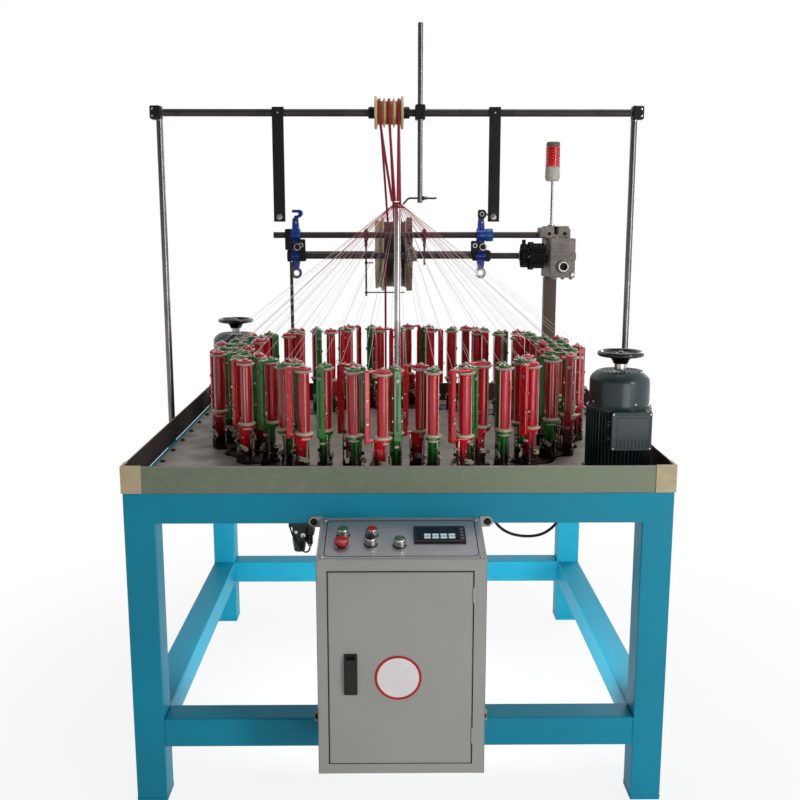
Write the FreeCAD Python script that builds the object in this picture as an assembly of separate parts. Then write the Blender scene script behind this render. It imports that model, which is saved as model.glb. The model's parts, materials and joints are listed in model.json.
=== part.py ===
"""Floor-standing kumihimo braiding machine: a ring of horn gears that carries bobbins past each other.

Millimetres, +Z up, front is -Y. Every piece is drawn about the table's centre on the floor, and save()
moves it back or forward by TABLE_Y, so that the origin lies on the floor under the box of the whole machine.
"""
import FreeCAD, Part
import math
import os

V = FreeCAD.Vector
X, Y, Z = V(1, 0, 0), V(0, 1, 0), V(0, 0, 1)

# Table and tray
TABLE_W, TABLE_D, TABLE_TOP = 1400.0, 1300.0, 854.0
BEAM, BEAM_WALL = 80.0, 4.0
STRETCHER_Z = 160.0                     # underside of the lower stretchers
FOOT_T, FOOT_HOLE_R = 12.0, 8.5
LEDGE_W, LEDGE_T = 20.0, 12.0
TRAY_WALL_H, TRAY_SHEET = 69.0, 2.0
CAP_W, CAP_T, CAP_RISE = 50.0, 2.5, 3.0

# Track and bed plates
DECK_T, DECK_INSET = 8.0, 22.0
BED_T, BED_DEPTH = 8.0, 34.0            # bed plate's top lies BED_DEPTH under the deck plate
BED_GAP = 4.0
PILLAR_R, PILLAR_PCR, PILLARS = 15.0, 400.0, 6

# Horn gears and carriers
HORNS = 32
PITCH = 100.0                           # distance between neighbouring horn gears
PHASE = 14.0                            # degrees that the gears have turned past the hand-over
FIRST_ANGLE = -6.5                      # first gear's place, from the front towards +X
HORN_R, HORN_BOTTOM, HORN_TOP = 48.0, 821.0, 848.0
NOTCH_DEPTH, NOTCH_HALF = 12.0, 9.0     # half angle of a horn notch's mouth, in degrees
STUD_R, STUD_CLEAR = 11.0, 0.4
GROOVE = 12.0                           # width of the carriers' track
RUN_GAP = 0.3                           # running clearance of sliding and turning faces

PIN_W, PIN_DEPTH = 9.0, 34.0
FOOT_HALF, FOOT_RISE = 18.0, 17.0
STEM_HALF, CARRIER_W = 8.0, 20.0
CARRIER_TAIL, CARRIER_NOSE = 38.0, 35.0
POST_T, TOP_T = 12.0, 8.0
BOBBIN_Z, BOBBIN_H = 973.0, 172.0
BOBBIN_X, FLANGE_R, YARN_R, FLANGE_T = 10.0, 25.0, 15.0, 4.0
BOBBIN_GAP = 3.0                        # between the bobbin and the carrier's top plate
BOBBIN_SIDES = 6

# Motors
MOTOR_INSET_X, REAR_INSET_X, MOTOR_INSET_Y = 105.0, 128.0, 200.0
MOTOR_R, MOTOR_BODY_H, MOTOR_FLANGE_H = 87.0, 165.0, 18.0
FAN_R, FAN_H, FAN_TAPER = 80.0, 93.0, 20.0
TERMINAL_W, TERMINAL_H, TERMINAL_D = 107.0, 103.0, 26.0
TERMINAL_OFF, TERMINAL_RISE = 10.0, 61.0   # sideways from the motor's middle, and above its flange
WHEEL_R, WHEEL_RIM_R, WHEEL_WEB_T, WHEEL_NECK_R, WHEEL_NECK_H = 62.5, 7.0, 5.0, 16.0, 18.0
WHEEL_RISE, WHEEL_DISH, WHEEL_HUB_R = 45.0, 8.0, 27.0
PUMP = (-250.0, -610.0, 66.0, 60.0, 84.0)   # centre X, centre Y, width, depth, height

# Overhead rail
POST_OUT, POST_R, RAIL_R, RAIL_Z = 12.0, 10.0, 11.0, 1850.0
CLAMP_GRIP = 9.0                        # how far the rail reaches into a corner clamp past its post
CLAMP_W, CLAMP_D, CLAMP_H = 34.0, 36.0, 42.0
POST_SHOE_Z, POST_SHOE_H = 784.0, 60.0
HANGER_XS, HANGER_W, HANGER_T, HANGER_Z = (-357.0, 292.0), 35.0, 6.0, 1529.0
HANGER_BOLT_RISE, HANGER_BOLT_R = 14.0, 6.0
ROLLER_X, ROLLER_W, ROLLER_R, ROLLER_GROOVE_R = -25.0, 87.0, 48.0, 34.0
ROLLER_GROOVES, COLLAR_R, COLLAR_W = 3, 17.0, 18.0
ROD_X, ROD_R, ROD_BOTTOM, ROD_TOP = 68.0, 8.0, 1585.0, 2103.0
CROSS_HALF, CROSS_H = 15.0, 42.0        # cross clamp's half width and its height
ROD_OFFSET = 25.0                       # the height rod passes this far in front of the rail
HOOK_LOW, HOOK_HIGH, HOOK_R = -51.0, 50.0, 3.0
HOOK_RISE, HOOK_DROP, HOOK_KNEE = 14.0, 18.0, 18.0

# Braid former at the ring's axis
TUBE_R, TUBE_BORE, TUBE_TOP = 10.0, 7.0, 1585.0
FORMER_R, FORMER_WIRE, FORMER_DROP = 17.0, 2.5, 12.0

# Take-up
BAR_INSET, BAR_Z, BAR_R, BAR_X0, BAR_IN_CHUCK = 110.0, 1481.0, 11.0, -441.0, 33.0
SHAFT_Z, SHAFT_R, SHAFT_X0, SHAFT_IN_BOX, SEAT_DEPTH = 1407.0, 11.0, -390.0, 15.0, 20.0
MODULE, GEAR_TEETH, PINION_TEETH = 6.0, 44, 11
GEAR_X, GEAR_W, PRESSURE = 39.0, 20.0, 20.0
ADDENDUM, DEDENDUM, BACKLASH = 0.8, 1.25, 0.6   # shares of the module, and millimetres on each flank
DRUM_X, DRUM_W, DRUM_R = -7.0, 76.0, 121.0
FLANGE_LEFT_R, FLANGE_LEFT_W, FLANGE_RIGHT_R, FLANGE_RIGHT_W = 137.0, 33.0, 125.0, 8.0
ROLLER_SHAFT_R = 12.0
ARM_XS, ARM_T, ARM_W, ARM_Z0, ARM_Z1 = (-361.0, 304.0), 24.0, 30.0, 1352.0, 1540.0
JAW_W, JAW_D, JAW_H, JAW_MOUTH, JAW_LIP = 40.0, 22.0, 31.0, 14.0, 9.0
COLLAR_OUT_R, COLLAR_OUT_W = 23.0, 26.0
ARM_BOSS_R, ARM_BOSS_W, EYE_R, EYE_BORE = 23.0, 34.0, 20.0, 9.0
LINK_T, LINK_H = 14.0, 40.0
COLUMN_INSET, COLUMN_W, COLUMN_TOP, COLUMN_FOOT = 144.0, 44.0, 1331.0, 94.0
GEARBOX_W, GEARBOX_D, GEARBOX_H, GEARBOX_OFF, GEARBOX_LEAN = 105.0, 116.0, 139.0, 28.5, 16.0
CHUCK_W, CHUCK_D, CHUCK_H, CHUCK_OUT = 113.0, 60.0, 43.0, 22.0
BOSS_OFF, BOSS_DROP, BOSS_R, BOSS_OUT = 8.5, 36.0, 22.0, 16.0
KNOB_OUT, KNOB_R, KNOB_DROP = 10.0, 17.0, 2.0
CLUSTER = ((83.0, 28.0, 42.0), (55.0, 16.0, 50.0), (39.0, 37.3, 45.0))   # from the gearbox, width, radius
LEVER_AT, LEVER_OUT, LEVER_UP, LEVER_R = 9.0, 10.0, 58.0, 7.0
STAY_R, STAY_IN, STAY_FRONT = 6.0, 8.0, 22.0
GUIDE_XS, GUIDE_RING_R, GUIDE_RING_W, GUIDE_PIN_R = (-109.0, 100.0), 19.0, 14.0, 3.5
GUIDE_PIN_LOWS = (1265.0, 1375.0)
WIRE_ARM_RISES, WIRE_ARM_L = (12.0, 118.0), 26.0

# Signal light
LIGHT_OFF, POLE_R, POLE_TOP = 1.0, 5.5, 1670.0
LIGHT_R, LIGHT_BASE_H, LENS_H, LIGHT_CAP_H = 27.0, 50.0, 70.0, 18.0

# Control cabinet
CAB_X, CAB_W, CAB_D, CAB_Z, CAB_FRONT_H, CAB_REAR_H = 4.0, 405.0, 198.0, 199.0, 547.0, 591.0
SHEET = 2.0
DOOR_X0, DOOR_X1, DOOR_Z0, DOOR_Z1 = -171.0, 174.0, 227.0, 717.0
DOOR_T, DOOR_GAP, DOOR_PROUD = 14.0, 2.0, 2.0
HINGE_R, HINGE_H, HINGE_ZS, HINGE_OUT = 4.0, 20.0, (280.0, 640.0), 1.0
LATCH_X, LATCH_Z0, LATCH_Z1, LATCH_W = -118.0, 408.0, 513.0, 32.0
LATCH_PLATE_T, LEVER_W, LEVER_T, LEVER_TOP_GAP = 5.0, 22.0, 10.0, 8.0
TAB_W, TAB_H, TAB_T, TAB_RISE = 32.0, 28.0, 4.0, 4.0

# Panel controls: X, and the distance up the slanted panel from its front edge
START_AT, STOP_AT, JOG_AT = (-138.0, 113.0), (-68.0, 113.0), (0.0, 65.0)
ESTOP_AT, SELECTOR_AT = (-140.0, 64.0), (-70.0, 71.0)
BEZEL_R, BEZEL_H, BEZEL_BORE, BUTTON_R, BUTTON_RISE = 15.0, 16.5, 11.6, 11.0, 3.0
TRAVEL_ROOM = 4.5
MUSHROOM_R, MUSHROOM_H, KNOB_W, KNOB_H = 20.0, 12.0, 7.0, 9.0
DISPLAY_X0, DISPLAY_X1, DISPLAY_S0, DISPLAY_S1, DISPLAY_H = 35.0, 162.0, 72.0, 146.0, 9.0

# Motor cable, hung between two glands under the bed plate: (X, Z) at CABLE_Y
CABLE_R, CABLE_Y, GLAND_R, GLAND_H = 4.0, -500.0, 9.0, 20.0
CABLE_ROUTE = ((250.0, None), (250.0, 740.0), (290.0, 700.0), (348.0, 688.0), (400.0, 698.0), (440.0, 742.0),
               (440.0, None))

# Braid
BRAID_R = 4.0
BRAID_NECK, BRAID_SPREAD = 0.3, 24.0    # how the three braids draw together at the tube, and lie on the drum
BRAID_BEND_Z0, BRAID_BEND_Z1 = 1230.0, 1130.0

# Yarns from the carriers' top plates up to the wire ring: half sizes along and across the radius
YARN_DEEP, YARN_WIDE, YARN_TAIL, YARN_OVER, YARN_CLEAR = 0.9, 0.5, 30.0, 1.5, 0.02

# What follows from the sizes above
RING_R = PITCH / (2 * math.sin(math.pi / HORNS))
MOTOR_X, MOTOR_Y = TABLE_W / 2 - MOTOR_INSET_X, MOTOR_INSET_Y - TABLE_D / 2
REAR_MOTOR_X, REAR_MOTOR_Y = REAR_INSET_X - TABLE_W / 2, -MOTOR_Y
POST_X = TABLE_W / 2 + POST_OUT
COLUMN_X, BAR_Y = TABLE_W / 2 - COLUMN_INSET, TABLE_D / 2 - BAR_INSET
BOX_X = COLUMN_X + GEARBOX_OFF
BOX_LEFT = BOX_X - GEARBOX_W / 2
CHUCK_X = BOX_LEFT - CHUCK_OUT
BAR_X1 = CHUCK_X + BAR_IN_CHUCK
LIGHT_X = COLUMN_X + LIGHT_OFF
BEAM_Z = TABLE_TOP - BEAM
BED_TOP = TABLE_TOP - BED_DEPTH
DECK_TOP = TABLE_TOP + DECK_T
RIM_Z = TABLE_TOP + TRAY_WALL_H
TAKE_UP_Y = BAR_Y + MODULE * (GEAR_TEETH + PINION_TEETH) / 2
CAB_FRONT = -TABLE_D / 2 - CAB_D
PANEL_SLOPE = math.atan2(CAB_REAR_H - CAB_FRONT_H, CAB_D)
LATCH_REACH = DOOR_PROUD + LATCH_PLATE_T + RUN_GAP + LEVER_T
GEAR_TIP_R = MODULE * (GEAR_TEETH / 2 + ADDENDUM)
REAR_REACH = TAKE_UP_Y + max(GEAR_TIP_R, FLANGE_LEFT_R)
TABLE_Y = (LATCH_REACH - CAB_FRONT - REAR_REACH) / 2


def block(x0, x1, y0, y1, z0, z1):
    return Part.makeBox(x1 - x0, y1 - y0, z1 - z0, V(x0, y0, z0))


def centred(cx, cy, cz, dx, dy, dz):
    return block(cx - dx / 2, cx + dx / 2, cy - dy / 2, cy + dy / 2, cz - dz / 2, cz + dz / 2)


def rod(start, end, radius):
    """A round bar from one point to another."""
    run = V(*end) - V(*start)
    return Part.makeCylinder(radius, run.Length, V(*start), run)


def outline(points):
    """A flat face with the given corners."""
    corners = [V(*p) for p in points]
    return Part.Face(Part.makePolygon(corners + corners[:1]))


def turned(profile, centre, axis):
    """Revolves (radius, height) points about an axis through centre."""
    side = Y if axis.isEqual(X, 1e-9) else X
    corners = [V(*centre) + side * r + axis * h for r, h in profile]
    face = Part.Face(Part.makePolygon(corners + corners[:1]))
    return face.revolve(V(*centre), axis, 360)


def prism_ring(radius, count, z0, z1, start=0.0):
    """An upright bar with a regular outline of count sides."""
    corners = [(radius * math.cos(a), radius * math.sin(a), z0)
               for a in (start + 2 * math.pi * i / count for i in range(count))]
    return outline(corners).extrude(Z * (z1 - z0))


def square_tube(x0, x1, y0, y1, z0, z1, along):
    """A box section with open ends."""
    outer = block(x0, x1, y0, y1, z0, z1)
    inset = [(x0, x1), (y0, y1), (z0, z1)]
    limits = [v for i, (a, b) in enumerate(inset)
              for v in ((a, b) if i == along else (a + BEAM_WALL, b - BEAM_WALL))]
    return outer.cut(block(*limits))


def horn_centre(index):
    """Where a horn gear stands, and the directions along and outwards from the ring there."""
    angle = math.radians(FIRST_ANGLE + 360.0 / HORNS * index)
    along = V(math.cos(angle), math.sin(angle), 0)
    outward = V(math.sin(angle), -math.cos(angle), 0)
    return outward * RING_R, along, outward


def save(node, solids):
    """Writes one node's solids, moved so that the whole machine's box is centred on the origin."""
    if not isinstance(solids, (list, tuple)):
        solids = [solids]
    shape = solids[0] if len(solids) == 1 else Part.makeCompound(list(solids))
    moved = shape.copy()
    moved.translate(V(0, TABLE_Y, 0))
    moved.exportStep("parts/%s.step" % node)


def base_frame():
    """Square-tube table: legs on drilled feet, stretchers, top beams and the ledge for the bed plate."""
    w, d, b = TABLE_W / 2, TABLE_D / 2, BEAM
    solids = []
    for sx in (-1, 1):
        for sy in (-1, 1):
            x, y = sx * (w - b / 2), sy * (d - b / 2)
            solids.append(square_tube(x - b / 2, x + b / 2, y - b / 2, y + b / 2, FOOT_T, BEAM_Z, 2))
            foot = block(x - b / 2, x + b / 2, y - b / 2, y + b / 2, 0, FOOT_T)
            solids.append(foot.cut(Part.makeCylinder(FOOT_HOLE_R, FOOT_T, V(x, y, 0))))
    for sy in (-1, 1):
        y0, y1 = sorted((sy * d, sy * (d - b)))
        solids.append(square_tube(-w, w, y0, y1, BEAM_Z, TABLE_TOP, 0))
        solids.append(square_tube(b - w, w - b, y0, y1, STRETCHER_Z, STRETCHER_Z + b, 0))
        edge = sy * (d - b)
        y0, y1 = sorted((edge, edge - sy * LEDGE_W))
        top = BED_TOP - BED_T
        solids.append(block(b - w, w - b, y0, y1, top - LEDGE_T, top))
    for sx in (-1, 1):
        x0, x1 = sorted((sx * w, sx * (w - b)))
        for z in (BEAM_Z, STRETCHER_Z):
            solids.append(square_tube(x0, x1, b - d, d - b, z, z + b, 1))
    return solids


def track_edge(reach, side, z):
    """A closed wire of arcs about the horn gears, on the ring's outer (+1) or inner (-1) side."""
    turn = math.pi / HORNS
    edges = []
    for i in range(HORNS):
        centre, along, outward = horn_centre(i)
        half = math.pi - math.acos(PITCH / 2 / reach) - math.pi / 2 + side * turn
        points = [centre + (outward * (side * math.cos(a)) + along * math.sin(a)) * reach + Z * z
                  for a in (-half, 0, half)]
        edges.append(Part.Arc(*points).toShape())
    return Part.Wire(Part.__sortEdges__(edges))


def track_plates():
    """Deck with the carriers' winding track, the disc inside the ring, its pillars and the bed plate."""
    reach = PITCH / 2 + GROOVE / 2
    w, d = TABLE_W / 2 - DECK_INSET, TABLE_D / 2 - DECK_INSET
    hole = Part.Face(track_edge(reach, 1, TABLE_TOP)).extrude(Z * DECK_T)
    outer = block(-w, w, -d, d, TABLE_TOP, DECK_TOP).cut(hole)
    inner = Part.Face(track_edge(reach, -1, TABLE_TOP)).extrude(Z * DECK_T)
    inner = inner.cut(Part.makeCylinder(TUBE_BORE, DECK_T, V(0, 0, TABLE_TOP)))
    solids = [outer, inner]
    for i in range(PILLARS):
        angle = 2 * math.pi * (i + 0.5) / PILLARS
        place = V(PILLAR_PCR * math.cos(angle), PILLAR_PCR * math.sin(angle), BED_TOP)
        solids.append(Part.makeCylinder(PILLAR_R, TABLE_TOP - BED_TOP, place))
    w, d = TABLE_W / 2 - BEAM - BED_GAP, TABLE_D / 2 - BEAM - BED_GAP
    bed = block(-w, w, -d, d, BED_TOP - BED_T, BED_TOP)
    solids.append(bed.cut(Part.makeCylinder(TUBE_BORE, BED_T, V(0, 0, BED_TOP - BED_T))))
    return solids


def quoits():
    """The islands of the track, each on the fixed stud that its horn gear turns on."""
    radius = PITCH / 2 - GROOVE / 2
    stud = prism_ring(STUD_R, 6, BED_TOP, TABLE_TOP)
    one = stud.fuse(prism_ring(radius, 8, TABLE_TOP, DECK_TOP, math.pi / 8))
    solids = []
    for i in range(HORNS):
        centre, along, outward = horn_centre(i)
        solids.append(placed(one, centre, along))
    return solids


def placed(shape, centre, heading):
    """Turns a shape drawn along +X to a heading, and moves it to a place in plan."""
    copy = shape.copy()
    copy.rotate(V(0, 0, 0), Z, math.degrees(math.atan2(heading.y, heading.x)))
    copy.translate(centre)
    return copy


def horn_plate():
    """The driven plate with four notches that push the carriers' pins."""
    bottom = HORN_R - NOTCH_DEPTH
    corners = []
    for i in range(4):
        for r, a in ((bottom, 0.0), (HORN_R, NOTCH_HALF), (HORN_R, 45.0), (HORN_R, 90.0 - NOTCH_HALF)):
            angle = math.radians(90.0 * i + a)
            corners.append((r * math.cos(angle), r * math.sin(angle), HORN_BOTTOM))
    plate = outline(corners).extrude(Z * (HORN_TOP - HORN_BOTTOM))
    bore_r = (STUD_R + STUD_CLEAR) / math.cos(math.pi / 6)
    return plate.cut(prism_ring(bore_r, 6, HORN_BOTTOM, HORN_TOP))


def carrier():
    """Drive pin, foot, stem and the C-shaped frame that holds one bobbin, heading along +X."""
    foot_z = DECK_TOP + RUN_GAP
    top_z = BOBBIN_Z + BOBBIN_H + BOBBIN_GAP
    post = CARRIER_TAIL - POST_T
    side = [
        (FOOT_HALF, foot_z), (STEM_HALF, foot_z + FOOT_RISE), (STEM_HALF, BOBBIN_Z - FOOT_RISE),
        (CARRIER_NOSE, BOBBIN_Z), (-post, BOBBIN_Z), (-post, top_z), (CARRIER_NOSE, top_z),
        (CARRIER_NOSE, top_z + TOP_T), (-CARRIER_TAIL, top_z + TOP_T), (-CARRIER_TAIL, BOBBIN_Z - POST_T),
        (-STEM_HALF, BOBBIN_Z - FOOT_RISE), (-STEM_HALF, foot_z + FOOT_RISE), (-FOOT_HALF, foot_z),
    ]
    face = outline([(x, -CARRIER_W / 2, z) for x, z in side])
    pin = centred(0, 0, foot_z - PIN_DEPTH / 2, PIN_W, PIN_W, PIN_DEPTH)
    return face.extrude(Y * CARRIER_W).fuse(pin)


def faceted_spool(centre_x, rings, count):
    """A closed solid of flat faces round an upright axis, through rings of (radius, height)."""
    loops = []
    for radius, z in rings:
        angles = [2 * math.pi * i / count for i in range(count)]
        loops.append([(centre_x + radius * math.cos(a), radius * math.sin(a), z) for a in angles])
    faces = [outline(loops[0]), outline(loops[-1])]
    for low, high in zip(loops, loops[1:]):
        for i in range(count):
            j = (i + 1) % count
            faces.append(outline((low[i], low[j], high[j], high[i])))
    return Part.makeSolid(Part.makeShell(faces))


def bobbin():
    """Wound package between two tapered flanges, standing on the carrier's lower plate."""
    top = BOBBIN_Z + BOBBIN_H
    rings = ((FLANGE_R, BOBBIN_Z), (YARN_R, BOBBIN_Z + FLANGE_T), (YARN_R, top - FLANGE_T), (FLANGE_R, top))
    return faceted_spool(BOBBIN_X, rings, BOBBIN_SIDES)


def riders(index):
    """Place and heading of the two carriers in a horn gear's notches; the second heads to the centre."""
    centre, along, outward = horn_centre(index)
    turn = math.radians(PHASE)
    side = 1 if index % 2 == 0 else -1
    notch = along * math.sin(turn) + outward * (side * math.cos(turn))
    ahead = along * math.cos(turn) - outward * (side * math.sin(turn))
    return [(centre + notch * (PITCH / 2), ahead), (centre + ahead * (PITCH / 2), notch * -1)]


def horn_gear(index, plate, frame, package):
    """A horn gear and the two carriers that ride in its notches."""
    centre = horn_centre(index)[0]
    both = riders(index)
    solids = [placed(plate, centre, both[1][1] * -1)]
    for place, heading in both:
        solids += [placed(frame, place, heading), placed(package, place, heading)]
    return solids


def tray_walls():
    """Sheet walls that stand on the table's outer edge."""
    w, d, t = TABLE_W / 2, TABLE_D / 2, TRAY_SHEET
    walls = []
    for sy in (-1, 1):
        y0, y1 = sorted((sy * d, sy * (d - t)))
        walls.append(block(-w, w, y0, y1, TABLE_TOP, RIM_Z))
    for sx in (-1, 1):
        x0, x1 = sorted((sx * w, sx * (w - t)))
        walls.append(block(x0, x1, t - d, d - t, TABLE_TOP, RIM_Z))
    return walls


def tray_corner_caps():
    """Angle pieces that wrap the tray's corners, with a closed top."""
    caps = []
    for sx in (-1, 1):
        for sy in (-1, 1):
            x, y = sx * TABLE_W / 2, sy * TABLE_D / 2
            xs = sorted((x + sx * CAP_T, x - sx * CAP_W))
            ys = sorted((y + sy * CAP_T, y - sy * CAP_W))
            shell = block(*xs, *ys, TABLE_TOP, RIM_Z + CAP_RISE)
            inner = TRAY_SHEET + RUN_GAP
            hx = sorted((x, x - sx * CAP_W))
            hy = sorted((y, y - sy * CAP_W))
            shell = shell.cut(block(*hx, *hy, TABLE_TOP, RIM_Z))
            px = sorted((x - sx * (inner + CAP_T), x - sx * CAP_W))
            py = sorted((y - sy * (inner + CAP_T), y - sy * CAP_W))
            caps.append(shell.cut(block(*px, *py, RIM_Z, RIM_Z + CAP_RISE)))
    return caps


def motor(x, y, facing):
    """Upright motor: foot flange, body, terminal box on its -Y side and fan cowl, turned by degrees."""
    z0 = DECK_TOP
    body_z = z0 + MOTOR_FLANGE_H
    fan_z = body_z + MOTOR_BODY_H
    top = fan_z + FAN_H
    profile = ((0, 0), (MOTOR_R + 6, 0), (MOTOR_R + 6, MOTOR_FLANGE_H), (MOTOR_R, MOTOR_FLANGE_H),
               (MOTOR_R, fan_z - z0), (FAN_R, fan_z - z0), (FAN_R, top - z0 - FAN_TAPER),
               (FAN_R - FAN_TAPER, top - z0), (0, top - z0))
    shell = turned(profile, (0, 0, z0), Z)
    box_z = body_z + TERMINAL_RISE
    left, right = TERMINAL_OFF - TERMINAL_W / 2, TERMINAL_OFF + TERMINAL_W / 2
    box = block(left, right, -MOTOR_R - TERMINAL_D, -MOTOR_R / 2, box_z, box_z + TERMINAL_H)
    box = box.cut(Part.makeCylinder(MOTOR_R, fan_z - z0, V(0, 0, z0)))
    both = [shell, box]
    for solid in both:
        solid.rotate(V(0, 0, 0), Z, facing)
        solid.translate(V(x, y, 0))
    return both


def motor_top():
    return DECK_TOP + MOTOR_FLANGE_H + MOTOR_BODY_H + FAN_H


def motor_housings():
    """Both drive motors, and the oil pump under the front beam."""
    x, y, w, d, h = PUMP
    pump = block(x - w / 2, x + w / 2, y - d / 2, y + d / 2, BEAM_Z - h, BEAM_Z)
    return motor(MOTOR_X, MOTOR_Y, 0) + motor(REAR_MOTOR_X, REAR_MOTOR_Y, 180) + [pump]


def handwheel(x, y):
    """Inching wheel on the end of a motor's shaft: neck, conical hub, dished web and round rim."""
    ring_r, half = WHEEL_R - WHEEL_RIM_R, WHEEL_WEB_T / 2
    rim = [(ring_r + WHEEL_RIM_R * math.cos(a), WHEEL_RISE + WHEEL_RIM_R * math.sin(a))
           for a in (math.radians(45 * i) for i in (-3, -2, -1, 0, 1, 2, 3))]
    low = WHEEL_RISE - WHEEL_DISH
    below = [(0, 0), (WHEEL_NECK_R, 0), (WHEEL_NECK_R, WHEEL_NECK_H), (WHEEL_NECK_R + 3, WHEEL_NECK_H),
             (WHEEL_HUB_R, low - half)]
    above = [(WHEEL_HUB_R, low + half), (WHEEL_NECK_R, low + half), (WHEEL_NECK_R - 2, WHEEL_RISE),
             (0, WHEEL_RISE)]
    return turned(below + rim + above, (x, y, motor_top() + RUN_GAP), Z)


def gantry_tubes():
    """Two posts beside the table and the rail across their tops."""
    foot = POST_SHOE_Z + POST_SHOE_H
    top = RAIL_Z - CLAMP_H / 2
    end = POST_X - CLAMP_W / 2 + CLAMP_GRIP
    solids = [rod((s * POST_X, 0, foot), (s * POST_X, 0, top), POST_R) for s in (-1, 1)]
    solids.append(rod((-end, 0, RAIL_Z), (end, 0, RAIL_Z), RAIL_R))
    return solids


def gantry_clamps():
    """Shoes and corner clamps of the posts, the cross clamp, roller collars and hanger bars."""
    solids = []
    for s in (-1, 1):
        x0, x1 = sorted((s * TABLE_W / 2, s * (TABLE_W / 2 + 2 * (POST_X - TABLE_W / 2))))
        solids.append(block(x0, x1, -CLAMP_D / 2, CLAMP_D / 2, POST_SHOE_Z, POST_SHOE_Z + POST_SHOE_H))
        inner = POST_X - CLAMP_W / 2 + CLAMP_GRIP
        x0, x1 = sorted((s * inner, s * (inner + CLAMP_W)))
        solids.append(centred((x0 + x1) / 2, 0, RAIL_Z, x1 - x0, CLAMP_D, CLAMP_H))
    left, right = ROD_X - CROSS_HALF, ROD_X + CROSS_HALF
    low, high = RAIL_Z - CROSS_H / 2, RAIL_Z + CROSS_H / 2
    clamp = block(left, right, -ROD_OFFSET - CROSS_HALF, RAIL_R + 6, low, high)
    clamp = clamp.cut(rod((left, 0, RAIL_Z), (right, 0, RAIL_Z), RAIL_R))
    solids.append(clamp.cut(rod((ROD_X, -ROD_OFFSET, low), (ROD_X, -ROD_OFFSET, high), ROD_R + 0.05)))
    for s in (-1, 1):
        x = ROLLER_X + s * (ROLLER_W / 2 + RUN_GAP + COLLAR_W / 2)
        collar = rod((x - COLLAR_W / 2, 0, RAIL_Z), (x + COLLAR_W / 2, 0, RAIL_Z), COLLAR_R)
        solids.append(collar.cut(rod((x - COLLAR_W / 2, 0, RAIL_Z), (x + COLLAR_W / 2, 0, RAIL_Z), RAIL_R)))
    for x in HANGER_XS:
        front = -RAIL_R - HANGER_T
        bar = block(x - HANGER_W / 2, x + HANGER_W / 2, front, -RAIL_R, HANGER_Z, RAIL_Z + RAIL_R)
        saddle = block(x - HANGER_W / 2, x + HANGER_W / 2, -RAIL_R, RAIL_R, RAIL_Z, RAIL_Z + RAIL_R + 5)
        saddle = saddle.cut(rod((x - HANGER_W, 0, RAIL_Z), (x + HANGER_W, 0, RAIL_Z), RAIL_R))
        solids += [bar, saddle]
        z = HANGER_Z + HANGER_BOLT_RISE
        solids.append(rod((x + 9, front - 9, z), (x + 9, front, z), HANGER_BOLT_R))
    return solids


def height_rod():
    """Rod that slides through the cross clamp, with the bent wire hook at its foot."""
    y = -ROD_OFFSET
    upright = rod((ROD_X, y, ROD_BOTTOM), (ROD_X, y, ROD_TOP), ROD_R)
    z = ROD_BOTTOM + HOOK_RISE
    left = ROD_X + HOOK_LOW
    bar = rod((left + HOOK_KNEE, y, z), (ROD_X + HOOK_HIGH, y, z), HOOK_R)
    tip = rod((left, y, z - HOOK_DROP), (left + HOOK_KNEE, y, z), HOOK_R)
    return upright.fuse([bar, tip])


def guide_roller():
    """Three-grooved roller that turns on the rail and leads the braids back to the take-up."""
    bore = RAIL_R + 0.05
    pitch = ROLLER_W / ROLLER_GROOVES
    lip = 5.0
    profile = [(bore, 0), (ROLLER_R, 0)]
    for i in range(ROLLER_GROOVES):
        low = i * pitch
        profile += [(ROLLER_R, low + lip), (ROLLER_GROOVE_R, low + lip + 5),
                    (ROLLER_GROOVE_R, low + pitch - lip - 5), (ROLLER_R, low + pitch - lip)]
    profile += [(ROLLER_R, ROLLER_W), (bore, ROLLER_W)]
    return turned(profile, (ROLLER_X - ROLLER_W / 2, 0, RAIL_Z), X)


def guide_tube():
    """Centre tube that leads core yarns up to the braid point, with the wire ring round its mouth."""
    tube = Part.makeCylinder(TUBE_R, TUBE_TOP - DECK_TOP, V(0, 0, DECK_TOP))
    tube = tube.cut(Part.makeCylinder(TUBE_BORE, TUBE_TOP - DECK_TOP, V(0, 0, DECK_TOP)))
    z = TUBE_TOP - FORMER_DROP
    ring = Part.makeTorus(FORMER_R, FORMER_WIRE, V(0, 0, z))
    stays = [rod((s * TUBE_R * 0.97, 0, z), (s * FORMER_R, 0, z), FORMER_WIRE * 0.8) for s in (-1, 1)]
    return tube.fuse([ring] + stays)


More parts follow.
